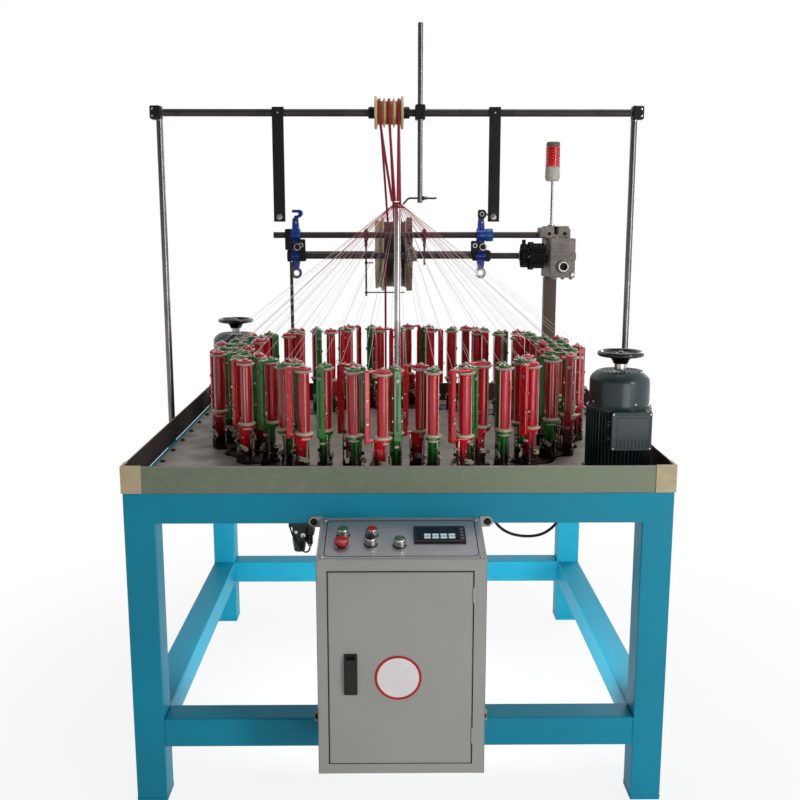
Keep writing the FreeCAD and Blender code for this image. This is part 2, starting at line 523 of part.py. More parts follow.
def take_up_stand():
    """Column, gearbox and chuck, with the fixed bar, its yarn guides and the stay rod."""
    column = centred(COLUMN_X, BAR_Y, (DECK_TOP + COLUMN_TOP) / 2, COLUMN_W, COLUMN_W, COLUMN_TOP - DECK_TOP)
    foot = centred(COLUMN_X, BAR_Y, DECK_TOP + 6, COLUMN_FOOT, COLUMN_FOOT, 12)
    column = column.fuse(foot)
    box_top = COLUMN_TOP + GEARBOX_H
    front, rear, right = BAR_Y - GEARBOX_D / 2, BAR_Y + GEARBOX_D / 2, BOX_LEFT + GEARBOX_W
    plan = ((BOX_LEFT, rear), (BOX_LEFT + GEARBOX_LEAN, front), (right, front), (right, rear))
    box = outline([(x, y, COLUMN_TOP) for x, y in plan]).extrude(Z * GEARBOX_H)
    boss_x, boss_z = BOX_X + BOSS_OFF, SHAFT_Z - BOSS_DROP
    boss = rod((boss_x, front - BOSS_OUT, boss_z), (boss_x, front, boss_z), BOSS_R)
    boss = boss.cut(rod((boss_x, front - BOSS_OUT, boss_z), (boss_x, front - 4, boss_z), BOSS_R - 8))
    knob_z = SHAFT_Z - KNOB_DROP
    box = box.fuse([boss, rod((right, BAR_Y, knob_z), (right + KNOB_OUT, BAR_Y, knob_z), KNOB_R)])
    box = box.cut(rod((BOX_LEFT, BAR_Y, SHAFT_Z), (BOX_LEFT + SEAT_DEPTH, BAR_Y, SHAFT_Z), SHAFT_R + 0.05))
    half = CHUCK_D / 2
    chuck = block(CHUCK_X, CHUCK_X + CHUCK_W, BAR_Y - half, BAR_Y + half, box_top, box_top + CHUCK_H)
    box = box.fuse(chuck).cut(rod((CHUCK_X, BAR_Y, BAR_Z), (BAR_X1, BAR_Y, BAR_Z), BAR_R))
    bar = rod((BAR_X0, BAR_Y, BAR_Z), (BAR_X1, BAR_Y, BAR_Z), BAR_R)
    stay_x = ARM_XS[0] - ARM_BOSS_W / 2 - LINK_T / 2 + STAY_IN
    stay_y = BAR_Y - STAY_FRONT
    stay = rod((stay_x, stay_y, DECK_TOP), (stay_x, stay_y, SHAFT_Z - LINK_H / 2), STAY_R)
    solids = [column, box, bar, stay]
    for x, low in zip(GUIDE_XS, GUIDE_PIN_LOWS):
        solids += yarn_guide(x, low)
    return solids


def saddle_on_bar(x, width, radius):
    """A collar clamped on the fixed bar."""
    collar = rod((x - width / 2, BAR_Y, BAR_Z), (x + width / 2, BAR_Y, BAR_Z), radius)
    return collar.cut(rod((x - width / 2, BAR_Y, BAR_Z), (x + width / 2, BAR_Y, BAR_Z), BAR_R))


def yarn_guide(x, low):
    """Collar with a pin hung in front of the bars; the long pin has two feeler wires with balls."""
    collar = saddle_on_bar(x, GUIDE_RING_W, GUIDE_RING_R)
    y = BAR_Y - GUIDE_RING_R - GUIDE_PIN_R
    lug = block(x - 5, x + 5, y - GUIDE_PIN_R, BAR_Y - BAR_R, BAR_Z - 6, BAR_Z + 6)
    lug = lug.cut(rod((x - GUIDE_RING_W, BAR_Y, BAR_Z), (x + GUIDE_RING_W, BAR_Y, BAR_Z), BAR_R))
    pin = rod((x, y, low), (x, y, BAR_Z), GUIDE_PIN_R)
    guide = collar.fuse([lug, pin])
    if low == min(GUIDE_PIN_LOWS):
        for rise, s in zip(WIRE_ARM_RISES, (1, -1)):
            end = x + s * WIRE_ARM_L
            arm = rod((x, y, low + rise), (end, y, low + rise), GUIDE_PIN_R * 0.7)
            guide = guide.fuse([arm, Part.makeSphere(GUIDE_PIN_R * 1.6, V(end, y, low + rise))])
    return [guide]


def jaw(x):
    """Head of a cast arm: a jaw with its mouth to the left."""
    left, right, y = x - ARM_T / 2, x - ARM_T / 2 + JAW_W, JAW_D / 2
    head = block(left, right, BAR_Y - y, BAR_Y + y, ARM_Z1, ARM_Z1 + JAW_H)
    mouth_z = ARM_Z1 + JAW_H - JAW_LIP - JAW_MOUTH
    return head.cut(block(left, right - JAW_LIP, BAR_Y - y, BAR_Y + y, mouth_z, mouth_z + JAW_MOUTH))


def shaft_brackets():
    """Cast arms on the fixed bar that carry the drive shaft and, on rear links, the take-up roller."""
    outer = ARM_XS[-1] + ARM_BOSS_W / 2 + COLLAR_OUT_W / 2
    solids = [saddle_on_bar(outer, COLLAR_OUT_W, COLLAR_OUT_R)]
    for x in ARM_XS:
        arm = block(x - ARM_T / 2, x + ARM_T / 2, BAR_Y - ARM_W / 2, BAR_Y + ARM_W / 2, ARM_Z0 + 8, ARM_Z1)
        for z in (BAR_Z, SHAFT_Z):
            arm = arm.fuse(rod((x - ARM_BOSS_W / 2, BAR_Y, z), (x + ARM_BOSS_W / 2, BAR_Y, z), ARM_BOSS_R))
        eye = rod((x, BAR_Y - 7, ARM_Z0 - 6), (x, BAR_Y + 7, ARM_Z0 - 6), EYE_R)
        arm = arm.fuse(eye).cut(rod((x, BAR_Y - 7, ARM_Z0 - 6), (x, BAR_Y + 7, ARM_Z0 - 6), EYE_BORE))
        arm = arm.fuse(jaw(x))
        arm = arm.cut(rod((x - 30, BAR_Y, BAR_Z), (x + 30, BAR_Y, BAR_Z), BAR_R))
        arm = arm.cut(rod((x - 30, BAR_Y, SHAFT_Z), (x + 30, BAR_Y, SHAFT_Z), SHAFT_R + 0.05))
        solids.append(arm)
        side = x - ARM_BOSS_W / 2 - LINK_T if x < 0 else x + ARM_BOSS_W / 2
        link = block(side, side + LINK_T, BAR_Y + BAR_R + 3, TAKE_UP_Y + 20,
                     SHAFT_Z - LINK_H / 2, SHAFT_Z + LINK_H / 2)
        link = link.fuse(block(side, side + LINK_T, BAR_Y - 20, BAR_Y + BAR_R + 4,
                               SHAFT_Z - LINK_H / 2, SHAFT_Z + LINK_H / 2))
        link = link.cut(rod((side, BAR_Y, SHAFT_Z), (side + LINK_T, BAR_Y, SHAFT_Z), SHAFT_R + 0.05))
        link = link.cut(rod((side, TAKE_UP_Y, SHAFT_Z), (side + LINK_T, TAKE_UP_Y, SHAFT_Z),
                            ROLLER_SHAFT_R + 0.05))
        solids.append(link)
    return solids


def spur_gear(teeth, centre_y, z, x, width, half_turn):
    """Straight teeth with sloped flanks, about an axis along X; half_turn puts a gap where a tooth was."""
    pitch_r = MODULE * teeth / 2
    tip_r, root_r = pitch_r + ADDENDUM * MODULE, pitch_r - DEDENDUM * MODULE
    quarter = math.pi / teeth / 2
    lean = math.tan(math.radians(PRESSURE)) * MODULE / pitch_r
    backlash = BACKLASH / pitch_r
    tip_half = quarter - ADDENDUM * lean - backlash
    root_half = quarter + DEDENDUM * lean - backlash
    corners = []
    for i in range(teeth):
        middle = 2 * math.pi * (i + 0.5 * half_turn) / teeth
        for r, a in ((root_r, -root_half), (tip_r, -tip_half), (tip_r, tip_half), (root_r, root_half)):
            corners.append((x, centre_y + r * math.cos(middle + a), z + r * math.sin(middle + a)))
    return outline(corners).extrude(X * width)


def take_up_roller():
    """Drum with its flanges and gear on one shaft, carried by the rear links."""
    centre = TAKE_UP_Y
    left, right = DRUM_X - DRUM_W / 2, DRUM_X + DRUM_W / 2
    start = ARM_XS[0] - ARM_BOSS_W / 2 - LINK_T
    end = ARM_XS[1] + ARM_BOSS_W / 2 + LINK_T
    profile = [
        (0, left - FLANGE_LEFT_W), (FLANGE_LEFT_R - 8, left - FLANGE_LEFT_W),
        (FLANGE_LEFT_R - 14, left - FLANGE_LEFT_W / 2), (FLANGE_LEFT_R, left - 8), (FLANGE_LEFT_R, left),
        (DRUM_R, left), (DRUM_R, right), (FLANGE_RIGHT_R, right),
        (FLANGE_RIGHT_R, right + FLANGE_RIGHT_W), (0, right + FLANGE_RIGHT_W),
    ]
    drum = turned([(r, x - left) for r, x in profile], (left, centre, SHAFT_Z), X)
    shaft = rod((start, centre, SHAFT_Z), (end, centre, SHAFT_Z), ROLLER_SHAFT_R)
    gear = spur_gear(GEAR_TEETH, centre, SHAFT_Z, GEAR_X, GEAR_W, GEAR_TEETH % 2)
    gear = gear.cut(rod((GEAR_X, centre, SHAFT_Z), (GEAR_X + GEAR_W, centre, SHAFT_Z), ROLLER_SHAFT_R))
    drum = drum.cut(rod((left - FLANGE_LEFT_W, centre, SHAFT_Z), (right + FLANGE_RIGHT_W, centre, SHAFT_Z),
                        ROLLER_SHAFT_R))
    return [drum, shaft, gear]


def drive_shaft():
    """Lower shaft with the pinion and the change-gear cluster beside the gearbox."""
    shaft = rod((SHAFT_X0, BAR_Y, SHAFT_Z), (BOX_LEFT + SHAFT_IN_BOX, BAR_Y, SHAFT_Z), SHAFT_R)
    pinion = spur_gear(PINION_TEETH, BAR_Y, SHAFT_Z, GEAR_X, GEAR_W, 1)
    wheels = shaft.fuse(pinion)
    for out, width, radius in CLUSTER:
        start = BOX_LEFT - out
        wheels = wheels.fuse(rod((start, BAR_Y, SHAFT_Z), (start + width + 1, BAR_Y, SHAFT_Z), radius))
    out, width, radius = CLUSTER[0]
    start = BOX_LEFT - out
    x, y = start + LEVER_AT, BAR_Y - LEVER_OUT
    return wheels.fuse(rod((x, y, SHAFT_Z + radius / 2), (x, y, SHAFT_Z + LEVER_UP), LEVER_R))


def signal_light():
    """Pole, base, lens and cap of the yarn-break light."""
    base = COLUMN_TOP + GEARBOX_H + CHUCK_H
    z = POLE_TOP
    pole = Part.makeCylinder(POLE_R, z - base, V(LIGHT_X, BAR_Y, base))
    profile = ((0, 0), (LIGHT_R - 9, 0), (LIGHT_R, 10), (LIGHT_R, LIGHT_BASE_H), (0, LIGHT_BASE_H))
    socket = turned(profile, (LIGHT_X, BAR_Y, z), Z)
    lens = Part.makeCylinder(LIGHT_R, LENS_H, V(LIGHT_X, BAR_Y, z + LIGHT_BASE_H))
    cap = Part.makeCylinder(LIGHT_R - 3, LIGHT_CAP_H, V(LIGHT_X, BAR_Y, z + LIGHT_BASE_H + LENS_H))
    return [pole, socket, lens, cap]


def panel_point(x, up, rise=0.0):
    """A point on the slanted panel: up its slope from the front edge, and rise off its surface."""
    c, s = math.cos(PANEL_SLOPE), math.sin(PANEL_SLOPE)
    return V(x, CAB_FRONT + up * c - rise * s, CAB_Z + CAB_FRONT_H + up * s + rise * c)


def panel_normal():
    return V(0, -math.sin(PANEL_SLOPE), math.cos(PANEL_SLOPE))


def on_panel(at, low, high, radius):
    """A round bar square to the panel, between two heights off its surface."""
    return rod(tuple(panel_point(*at, low)), tuple(panel_point(*at, high)), radius)


def control_cabinet():
    """Sheet cabinet with a door opening and slanted panel, its tabs, button bezels and display."""
    x0, x1 = CAB_X - CAB_W / 2, CAB_X + CAB_W / 2
    back = CAB_FRONT + CAB_D
    side = ((CAB_FRONT, CAB_Z), (back, CAB_Z), (back, CAB_Z + CAB_REAR_H), (CAB_FRONT, CAB_Z + CAB_FRONT_H))
    shell = outline([(x0, y, z) for y, z in side]).extrude(X * CAB_W)
    drop = SHEET / math.cos(PANEL_SLOPE)
    lip = SHEET * math.tan(PANEL_SLOPE)
    rear_z, front_z = CAB_Z + CAB_REAR_H - drop - lip, CAB_Z + CAB_FRONT_H - drop + lip
    hollow = ((CAB_FRONT + SHEET, CAB_Z + SHEET), (back - SHEET, CAB_Z + SHEET),
              (back - SHEET, rear_z), (CAB_FRONT + SHEET, front_z))
    shell = shell.cut(outline([(x0 + SHEET, y, z) for y, z in hollow]).extrude(X * (CAB_W - 2 * SHEET)))
    g = DOOR_GAP
    shell = shell.cut(block(DOOR_X0 - g, DOOR_X1 + g, CAB_FRONT, CAB_FRONT + SHEET, DOOR_Z0 - g, DOOR_Z1 + g))
    for z in HINGE_ZS:
        shell = shell.cut(knuckle(z + HINGE_H, HINGE_R + RUN_GAP, HINGE_H + 2 * RUN_GAP))
        shell = shell.fuse(knuckle(z, HINGE_R))
    solids = [shell]
    top = CAB_Z + CAB_REAR_H + TAB_RISE
    for left in (x0 - TAB_W, x1):
        solids.append(block(left, left + TAB_W, back - TAB_T, back, top - TAB_H, top))
    for at in (START_AT, STOP_AT, JOG_AT, ESTOP_AT, SELECTOR_AT):
        bezel = on_panel(at, 0, BEZEL_H + TRAVEL_ROOM, BEZEL_R)
        solids.append(bezel.cut(on_panel(at, 0, BEZEL_H + TRAVEL_ROOM, BEZEL_BORE)))
    c = math.degrees(PANEL_SLOPE)
    display = Part.makeBox(DISPLAY_X1 - DISPLAY_X0, DISPLAY_S1 - DISPLAY_S0, DISPLAY_H)
    display.rotate(V(0, 0, 0), X, c)
    display.translate(panel_point(DISPLAY_X0, DISPLAY_S0))
    solids.append(display)
    return solids


def knuckle(z, radius, height=HINGE_H):
    """A hinge barrel, or the room for one, on the door's axis."""
    return Part.makeCylinder(radius, height, V(DOOR_X1 + HINGE_OUT, CAB_FRONT - DOOR_PROUD, z))


def cabinet_door():
    """Pan-shaped door with the latch's back plate; it opens about its right front edge."""
    front = CAB_FRONT - DOOR_PROUD
    pan = block(DOOR_X0, DOOR_X1, front, front + DOOR_T, DOOR_Z0, DOOR_Z1)
    pan = pan.cut(block(DOOR_X0 + SHEET, DOOR_X1 - SHEET, front + SHEET, front + DOOR_T,
                        DOOR_Z0 + SHEET, DOOR_Z1 - SHEET))
    for z in HINGE_ZS:
        pan = pan.cut(knuckle(z - RUN_GAP, HINGE_R + RUN_GAP, HINGE_H + 2 * RUN_GAP))
        pan = pan.fuse(knuckle(z + HINGE_H + RUN_GAP, HINGE_R))
    left = LATCH_X - LATCH_W / 2
    plate = block(left, left + LATCH_W, front - LATCH_PLATE_T, front, LATCH_Z0, LATCH_Z1)
    return [pan, plate]


def door_latch():
    """Lever in front of the latch plate, turned about a pivot near its top."""
    back = CAB_FRONT - DOOR_PROUD - LATCH_PLATE_T - RUN_GAP
    top = LATCH_Z1 - LEVER_TOP_GAP
    lever = block(LATCH_X - LEVER_W / 2, LATCH_X + LEVER_W / 2, back - LEVER_T, back, LATCH_Z0 + 12, top)
    return lever


def push_button(at):
    """Cap that travels down inside its bezel."""
    return on_panel(at, TRAVEL_ROOM, BEZEL_H + TRAVEL_ROOM + BUTTON_RISE, BUTTON_R)


def emergency_stop():
    """Mushroom head on a stem inside the bezel."""
    top = BEZEL_H + TRAVEL_ROOM
    stem = on_panel(ESTOP_AT, TRAVEL_ROOM, top + TRAVEL_ROOM, BUTTON_R)
    return stem.fuse(on_panel(ESTOP_AT, top + TRAVEL_ROOM, top + TRAVEL_ROOM + MUSHROOM_H, MUSHROOM_R))


def selector_switch():
    """Round base in its bezel with a raised grip bar."""
    top = BEZEL_H + TRAVEL_ROOM
    base = on_panel(SELECTOR_AT, RUN_GAP, top + BUTTON_RISE, BUTTON_R)
    grip = Part.makeBox(KNOB_W, 2 * BUTTON_R - 2, KNOB_H, V(-KNOB_W / 2, 1 - BUTTON_R, 0))
    grip.rotate(V(0, 0, 0), X, math.degrees(PANEL_SLOPE))
    grip.translate(panel_point(*SELECTOR_AT, top + BUTTON_RISE - 0.5))
    return base.fuse(grip)


def rounded_route(points, shares=0.45):
    """A wire of straight runs joined by tangent arcs, with the radii of the arcs."""
    edges, radii, start = [], [], points[0]
    for before, here, after in zip(points, points[1:], points[2:]):
        a, b = before - here, after - here
        cut = shares * min(a.Length, b.Length)
        turn = math.pi - a.getAngle(b)
        p, q = here + a.normalize() * cut, here + b.normalize() * cut
        radius = cut / math.tan(turn / 2)
        middle = (p + q) * 0.5 - here
        reach = math.hypot(radius, cut) - radius
        edges += [Part.LineSegment(start, p).toShape(),
                  Part.Arc(p, here + middle.normalize() * reach, q).toShape()]
        radii.append(radius)
        start = q
    edges.append(Part.LineSegment(start, points[-1]).toShape())
    return Part.Wire(edges), radii


def swept(wire, radius, start, direction):
    """A round cord along a wire."""
    section = Part.Wire(Part.makeCircle(radius, start, direction))
    return wire.makePipeShell([section], True, True)


def cable_gland(x):
    return Part.makeCylinder(GLAND_R, GLAND_H, V(x, CABLE_Y, BED_TOP - BED_T - GLAND_H))


def motor_cable():
    """Cable that hangs in a shallow bow between its glands."""
    gland_z = BED_TOP - BED_T - GLAND_H
    points = [V(x, CABLE_Y, gland_z if z is None else z) for x, z in CABLE_ROUTE]
    wire, radii = rounded_route(points)
    print("cable radii", [round(r) for r in radii])
    cable = swept(wire, CABLE_R, points[0], points[1] - points[0])
    print("cable volume over section times length", cable.Volume / (math.pi * CABLE_R ** 2 * wire.Length))
    return [cable, cable_gland(CABLE_ROUTE[0][0]), cable_gland(CABLE_ROUTE[-1][0])]


def yarns():
    """Yarns from an eye in each carrier's top plate to the wire ring, where they lie side by side."""
    low_z, ring_z = BOBBIN_Z + BOBBIN_H + BOBBIN_GAP + TOP_T, TUBE_TOP - FORMER_DROP
    starts = [place - heading * YARN_TAIL for i in range(HORNS) for place, heading in riders(i)]
    starts.sort(key=lambda p: math.atan2(p.y, p.x))
    step = 2 * math.pi / len(starts)
    first = sum(math.atan2(p.y, p.x) - i * step for i, p in enumerate(starts)) / len(starts)
    solids = []
    for i, start in enumerate(starts):
        out = V(math.cos(first + i * step), math.sin(first + i * step), 0)
        slope = math.atan2(ring_z - low_z, start.Length - FORMER_R)
        reach = FORMER_WIRE + YARN_CLEAR
        away = FORMER_R + reach * math.sin(slope) + YARN_DEEP
        touch = out * away + Z * (ring_z + reach * math.cos(slope))
        start = start + Z * low_z
        run = (touch - start) * ((touch.z - low_z + YARN_OVER) / (touch.z - low_z))
        deep, wide = out * YARN_DEEP, out.cross(Z) * YARN_WIDE
        corners = [start + deep + wide, start + deep - wide, start - deep - wide, start - deep + wide]
        solids.append(outline([tuple(c) for c in corners]).extrude(run))
    return solids


def braid_strands():
    """Braids over the guide roller and back to the drum, the finished one down to the deck, and the yarns."""
    over = ROLLER_GROOVE_R + BRAID_R + RUN_GAP
    drum = DRUM_R + BRAID_R + RUN_GAP
    fall = SHAFT_Z - RAIL_Z
    leave_at = math.atan2(fall, TAKE_UP_Y) + math.acos((over - drum) / math.hypot(TAKE_UP_Y, fall))
    low_z = TUBE_TOP + 6
    meet_at = math.atan2(low_z - RAIL_Z, 0) - math.acos(over / (RAIL_Z - low_z))
    solids = []
    for i in range(ROLLER_GROOVES):
        step = i - (ROLLER_GROOVES - 1) / 2
        x = ROLLER_X + step * ROLLER_W / ROLLER_GROOVES
        points = [V(x, over * math.cos(a), RAIL_Z + over * math.sin(a))
                  for a in (meet_at + 2 * math.pi, (meet_at + 2 * math.pi + leave_at) / 2, leave_at)]
        low = V(x * BRAID_NECK, 0, low_z)
        far = V(DRUM_X + step * BRAID_SPREAD, TAKE_UP_Y + drum * math.cos(leave_at),
                SHAFT_Z + drum * math.sin(leave_at))
        solids.append(rod(tuple(low), tuple(points[0]), BRAID_R))
        bend = Part.Wire([Part.Arc(*points).toShape()])
        rise = V(0, math.sin(meet_at), -math.cos(meet_at))
        solids.append(swept(bend, BRAID_R, points[0], rise))
        solids.append(rod(tuple(points[2]), tuple(far), BRAID_R))
    x, front = DRUM_X - DRUM_W / 2 + BRAID_R + 1, TAKE_UP_Y - drum
    behind = (TABLE_D / 2 - TRAY_SHEET + RING_R + PITCH / 2 + CARRIER_TAIL) / 2
    route = ((front, SHAFT_Z), (front, BRAID_BEND_Z0), (behind, BRAID_BEND_Z1), (behind, DECK_TOP))
    points = [V(x, y, z) for y, z in route]
    wire, radii = rounded_route(points)
    print("braid radii", [round(r) for r in radii])
    solids.append(swept(wire, BRAID_R, points[0], Z))
    return solids + yarns()


def main():
    os.makedirs("parts", exist_ok=True)
    save("base_frame", base_frame())
    save("track_plates", track_plates())
    save("quoits", quoits())
    plate, frame, package = horn_plate(), carrier(), bobbin()
    for i in range(HORNS):
        save("horn_gear_%02d" % (i + 1), horn_gear(i, plate, frame, package))
    save("tray_walls", tray_walls())
    save("tray_corner_caps", tray_corner_caps())
    save("motor_housings", motor_housings())
    save("front_handwheel", handwheel(MOTOR_X, MOTOR_Y))
    save("rear_handwheel", handwheel(REAR_MOTOR_X, REAR_MOTOR_Y))
    save("gantry_tubes", gantry_tubes())
    save("gantry_clamps", gantry_clamps())
    save("height_rod", height_rod())
    save("guide_roller", guide_roller())
    save("guide_tube", guide_tube())
    save("take_up_stand", take_up_stand())
    save("shaft_brackets", shaft_brackets())
    save("take_up_roller", take_up_roller())
    save("drive_shaft", drive_shaft())
    save("signal_light", signal_light())
    save("control_cabinet", control_cabinet())
    save("cabinet_door", cabinet_door())
    save("door_latch", door_latch())
    save("start_button", push_button(START_AT))
    save("stop_button", push_button(STOP_AT))
    save("jog_button", push_button(JOG_AT))
    save("emergency_stop", emergency_stop())
    save("selector_switch", selector_switch())
    save("motor_cable", motor_cable())
    save("braid_strands", braid_strands())
    print("table centre at Y", TABLE_Y)


main()
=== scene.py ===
"""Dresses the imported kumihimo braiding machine: finishes, detailed pieces, thread path, stage and camera.

Sizes are millimetres about the table's centre on the floor, with Z up and the front towards -Y. Shape.piece()
brings a mesh to metres and moves it by TABLE_Y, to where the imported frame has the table.
"""
from __future__ import annotations

import json
import logging
import math
from collections.abc import Iterable, Sequence
from dataclasses import dataclass, field
from enum import Enum
from typing import ClassVar

import bmesh
import bpy
from mathutils import Matrix, Vector

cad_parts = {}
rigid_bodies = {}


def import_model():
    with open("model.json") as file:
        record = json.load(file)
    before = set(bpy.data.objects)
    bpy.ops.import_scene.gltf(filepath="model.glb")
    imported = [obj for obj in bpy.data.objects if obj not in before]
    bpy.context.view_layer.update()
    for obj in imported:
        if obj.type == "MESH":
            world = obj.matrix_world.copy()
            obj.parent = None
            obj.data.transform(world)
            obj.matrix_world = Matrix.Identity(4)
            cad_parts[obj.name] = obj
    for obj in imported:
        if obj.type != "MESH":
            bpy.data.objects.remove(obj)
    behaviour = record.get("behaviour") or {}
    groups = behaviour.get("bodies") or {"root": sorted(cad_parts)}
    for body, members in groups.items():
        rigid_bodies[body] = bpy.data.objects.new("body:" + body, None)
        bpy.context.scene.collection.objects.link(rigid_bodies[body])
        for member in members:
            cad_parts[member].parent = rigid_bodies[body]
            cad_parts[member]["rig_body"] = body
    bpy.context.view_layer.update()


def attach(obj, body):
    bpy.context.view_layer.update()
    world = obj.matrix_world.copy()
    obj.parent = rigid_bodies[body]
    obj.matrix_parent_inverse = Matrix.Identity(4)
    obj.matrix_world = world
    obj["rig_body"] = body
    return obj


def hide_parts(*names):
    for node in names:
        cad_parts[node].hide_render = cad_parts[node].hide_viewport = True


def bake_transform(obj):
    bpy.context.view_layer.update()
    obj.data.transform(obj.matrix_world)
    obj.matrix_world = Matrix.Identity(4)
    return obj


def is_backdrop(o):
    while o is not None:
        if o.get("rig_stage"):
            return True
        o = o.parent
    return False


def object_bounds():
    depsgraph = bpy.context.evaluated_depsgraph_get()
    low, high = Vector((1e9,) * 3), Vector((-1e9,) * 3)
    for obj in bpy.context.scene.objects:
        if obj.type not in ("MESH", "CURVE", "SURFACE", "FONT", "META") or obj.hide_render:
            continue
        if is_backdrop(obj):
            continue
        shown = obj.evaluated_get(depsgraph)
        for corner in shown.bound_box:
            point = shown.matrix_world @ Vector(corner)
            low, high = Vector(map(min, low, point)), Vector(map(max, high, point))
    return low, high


log = logging.getLogger("braider")

TABLE_Y = 11.65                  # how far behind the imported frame's origin the table stands
MACHINE = "machine"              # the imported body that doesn't move
DECK = 862.0                     # top of the deck plates
RAIL_Z, FORMER_TOP = 1850.0, 1585.0
ROLLER_X, ROLLER_W = -25.0, 87.0
BAR_Y, BAR_Z = 540.0, 1481.0     # fixed bar of the take-up, with the drive shaft right under it
SHAFT_Z, DRUM_Y, DRUM_R = 1407.0, 705.0, 121.0
GROOVE_R, BRAID_R = 34.0, 4.0
SHARP = 35.0                     # edges sharper than this many degrees stay sharp
SIDES = (-1, 1)
CORNERS = [(x, y) for x in SIDES for y in SIDES]
FRONT, BACK, LEFT, RIGHT, UP, DOWN = (0, -1, 0), (0, 1, 0), (-1, 0, 0), (1, 0, 0), (0, 0, 1), (0, 0, -1)
ACROSS_X = Matrix(((0, 0, 1, 0), (1, 0, 0, 0), (0, 1, 0, 0), (0, 0, 0, 1)))  # stands an outline of (Y, Z) up
ACROSS_Y = Matrix(((1, 0, 0, 0), (0, 0, 1, 0), (0, 1, 0, 0), (0, 0, 0, 1)))  # stands an outline of (X, Z) up
Triple = tuple[float, float, float]
Point = Sequence[float]
Pair = tuple[float, float]


def linear(colour: Triple) -> tuple[float, float, float, float]:
    """A colour of 0 to 255 as linear RGBA."""
    parts = [c / 255 for c in colour]
    return (*[c / 12.92 if c <= 0.04045 else ((c + 0.055) / 1.055) ** 2.4 for c in parts], 1.0)


def metres(point: Point) -> Vector:
    """A point about the table's centre, in millimetres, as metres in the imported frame."""
    return Vector((point[0], point[1] + TABLE_Y, point[2])) / 1000


def shift(x: float, y: float, z: float, about: str = "Z", angle: float = 0.0) -> Matrix:
    """A turn of so many degrees about an axis, and then a move."""
    return Matrix.Translation((x, y, z)) @ Matrix.Rotation(math.radians(angle), 4, about)


def standing(place: Point, direction: Point) -> Matrix:
    """A place whose Z points along a direction."""
    return Matrix.Translation(Vector(place)) @ Vector(direction).to_track_quat("Z", "Y").to_matrix().to_4x4()


def polar(radius: float, degrees: float) -> Pair:
    """A point on a circle."""
    return radius * math.cos(math.radians(degrees)), radius * math.sin(math.radians(degrees))


class Wire:
    """One output socket of a node, on which arithmetic adds Math nodes."""

    def __init__(self, recipe: Recipe, socket: bpy.types.NodeSocket) -> None:
        """Wraps a socket of the recipe's tree."""
        self.recipe, self.socket = recipe, socket

    def math(self, operation: str, *others: Wire | float) -> Wire:
        """A maths node on this value and up to two others."""
        return self.recipe.node("Math", {"operation": operation}, dict(enumerate((self, *others))))

    def __add__(self, other: Wire | float) -> Wire:
        """Sum."""
        return self.math("ADD", other)

    __radd__ = __add__

    def __sub__(self, other: Wire | float) -> Wire:
        """Difference."""
        return self.math("SUBTRACT", other)

    def __rsub__(self, other: float) -> Wire:
        """A number less this value."""
        return self.recipe.node("Math", {"operation": "SUBTRACT"}, {0: other, 1: self})

    def __mul__(self, other: Wire | float) -> Wire:
        """Product."""
        return self.math("MULTIPLY", other)

    __rmul__ = __mul__

    def __pow__(self, power: float) -> Wire:
        """Power."""
        return self.math("POWER", power)

    def ramp(self, low: float, high: float, start: float = 0.0, end: float = 1.0) -> Wire:
        """A smooth step of this value from start to end while it goes from low to high."""
        sockets = {0: self, 1: low, 2: high, 3: start, 4: end}
        return self.recipe.node("MapRange", {"interpolation_type": "SMOOTHSTEP"}, sockets)

    def mix(self, low: Wire | Triple, high: Wire | Triple) -> Wire:
        """The colour low where this value is 0, and high where it is 1."""
        return self.recipe.node("Mix", {"data_type": "RGBA"}, {0: self, 6: low, 7: high}, out=2)

    def axis(self, index: int) -> Wire:
        """One coordinate of a vector."""
        return self.recipe.node("SeparateXYZ", {}, {0: self}, out=index)


Look = tuple[Wire, Wire, float]


class Recipe:
    """The node tree of a material or world, whose nodes all come from node()."""

    def __init__(self, owner: bpy.types.Material | bpy.types.World) -> None:
        """Empties the owner's tree."""
        owner.use_nodes = True
        self.owner, self.tree = owner, owner.node_tree
        self.tree.nodes.clear()

    def node(self, kind: str, settings: dict | None = None, sockets: dict | None = None,
             out: int | str = 0) -> Wire:
        """Adds a node.

        Args:
            kind: The node's type without its ShaderNode prefix.
            settings: Properties, which are set first.
            sockets: Inputs by name or number, as a Wire, a number, a vector or a colour of 0 to 255.
            out: Which output is returned.

        Returns:
            The output.
        """
        made = self.tree.nodes.new(f"ShaderNode{kind}")
        for key, value in (settings or {}).items():
            setattr(made, key, value)
        for key, value in (sockets or {}).items():
            socket = made.inputs[key]
            if isinstance(value, Wire):
                self.tree.links.new(value.socket, socket)
            elif socket.type == "RGBA":
                socket.default_value = linear(value)
            else:
                socket.default_value = value
        return Wire(self, made.outputs[out] if made.outputs else None)

    def noise(self, where: Wire, scale: float, detail: float = 2.0, rough: float = 0.5) -> Wire:
        """Fractal noise of 0 to 1 at so many cycles a metre."""
        sockets = {"Vector": where, "Scale": scale, "Detail": detail, "Roughness": rough}
        return self.node("TexNoise", {}, sockets)

    def stretch(self, where: Wire, scale: Triple, turn: Triple = (0, 0, 0)) -> Wire:
        """Coordinates scaled and turned by a Mapping node."""
        return self.node("Mapping", {}, {"Vector": where, "Scale": scale, "Rotation": turn})

    def place(self, kind: str = "Object") -> Wire:
        """Texture coordinates of one kind."""
        return self.node("TexCoord", out=kind)

    def rays(self) -> list[Wire]:
        """Whether a ray comes from the camera, off gloss, or through glass."""
        return [self.node("LightPath", out=f"Is {kind} Ray") for kind in ("Camera", "Glossy", "Transmission")]


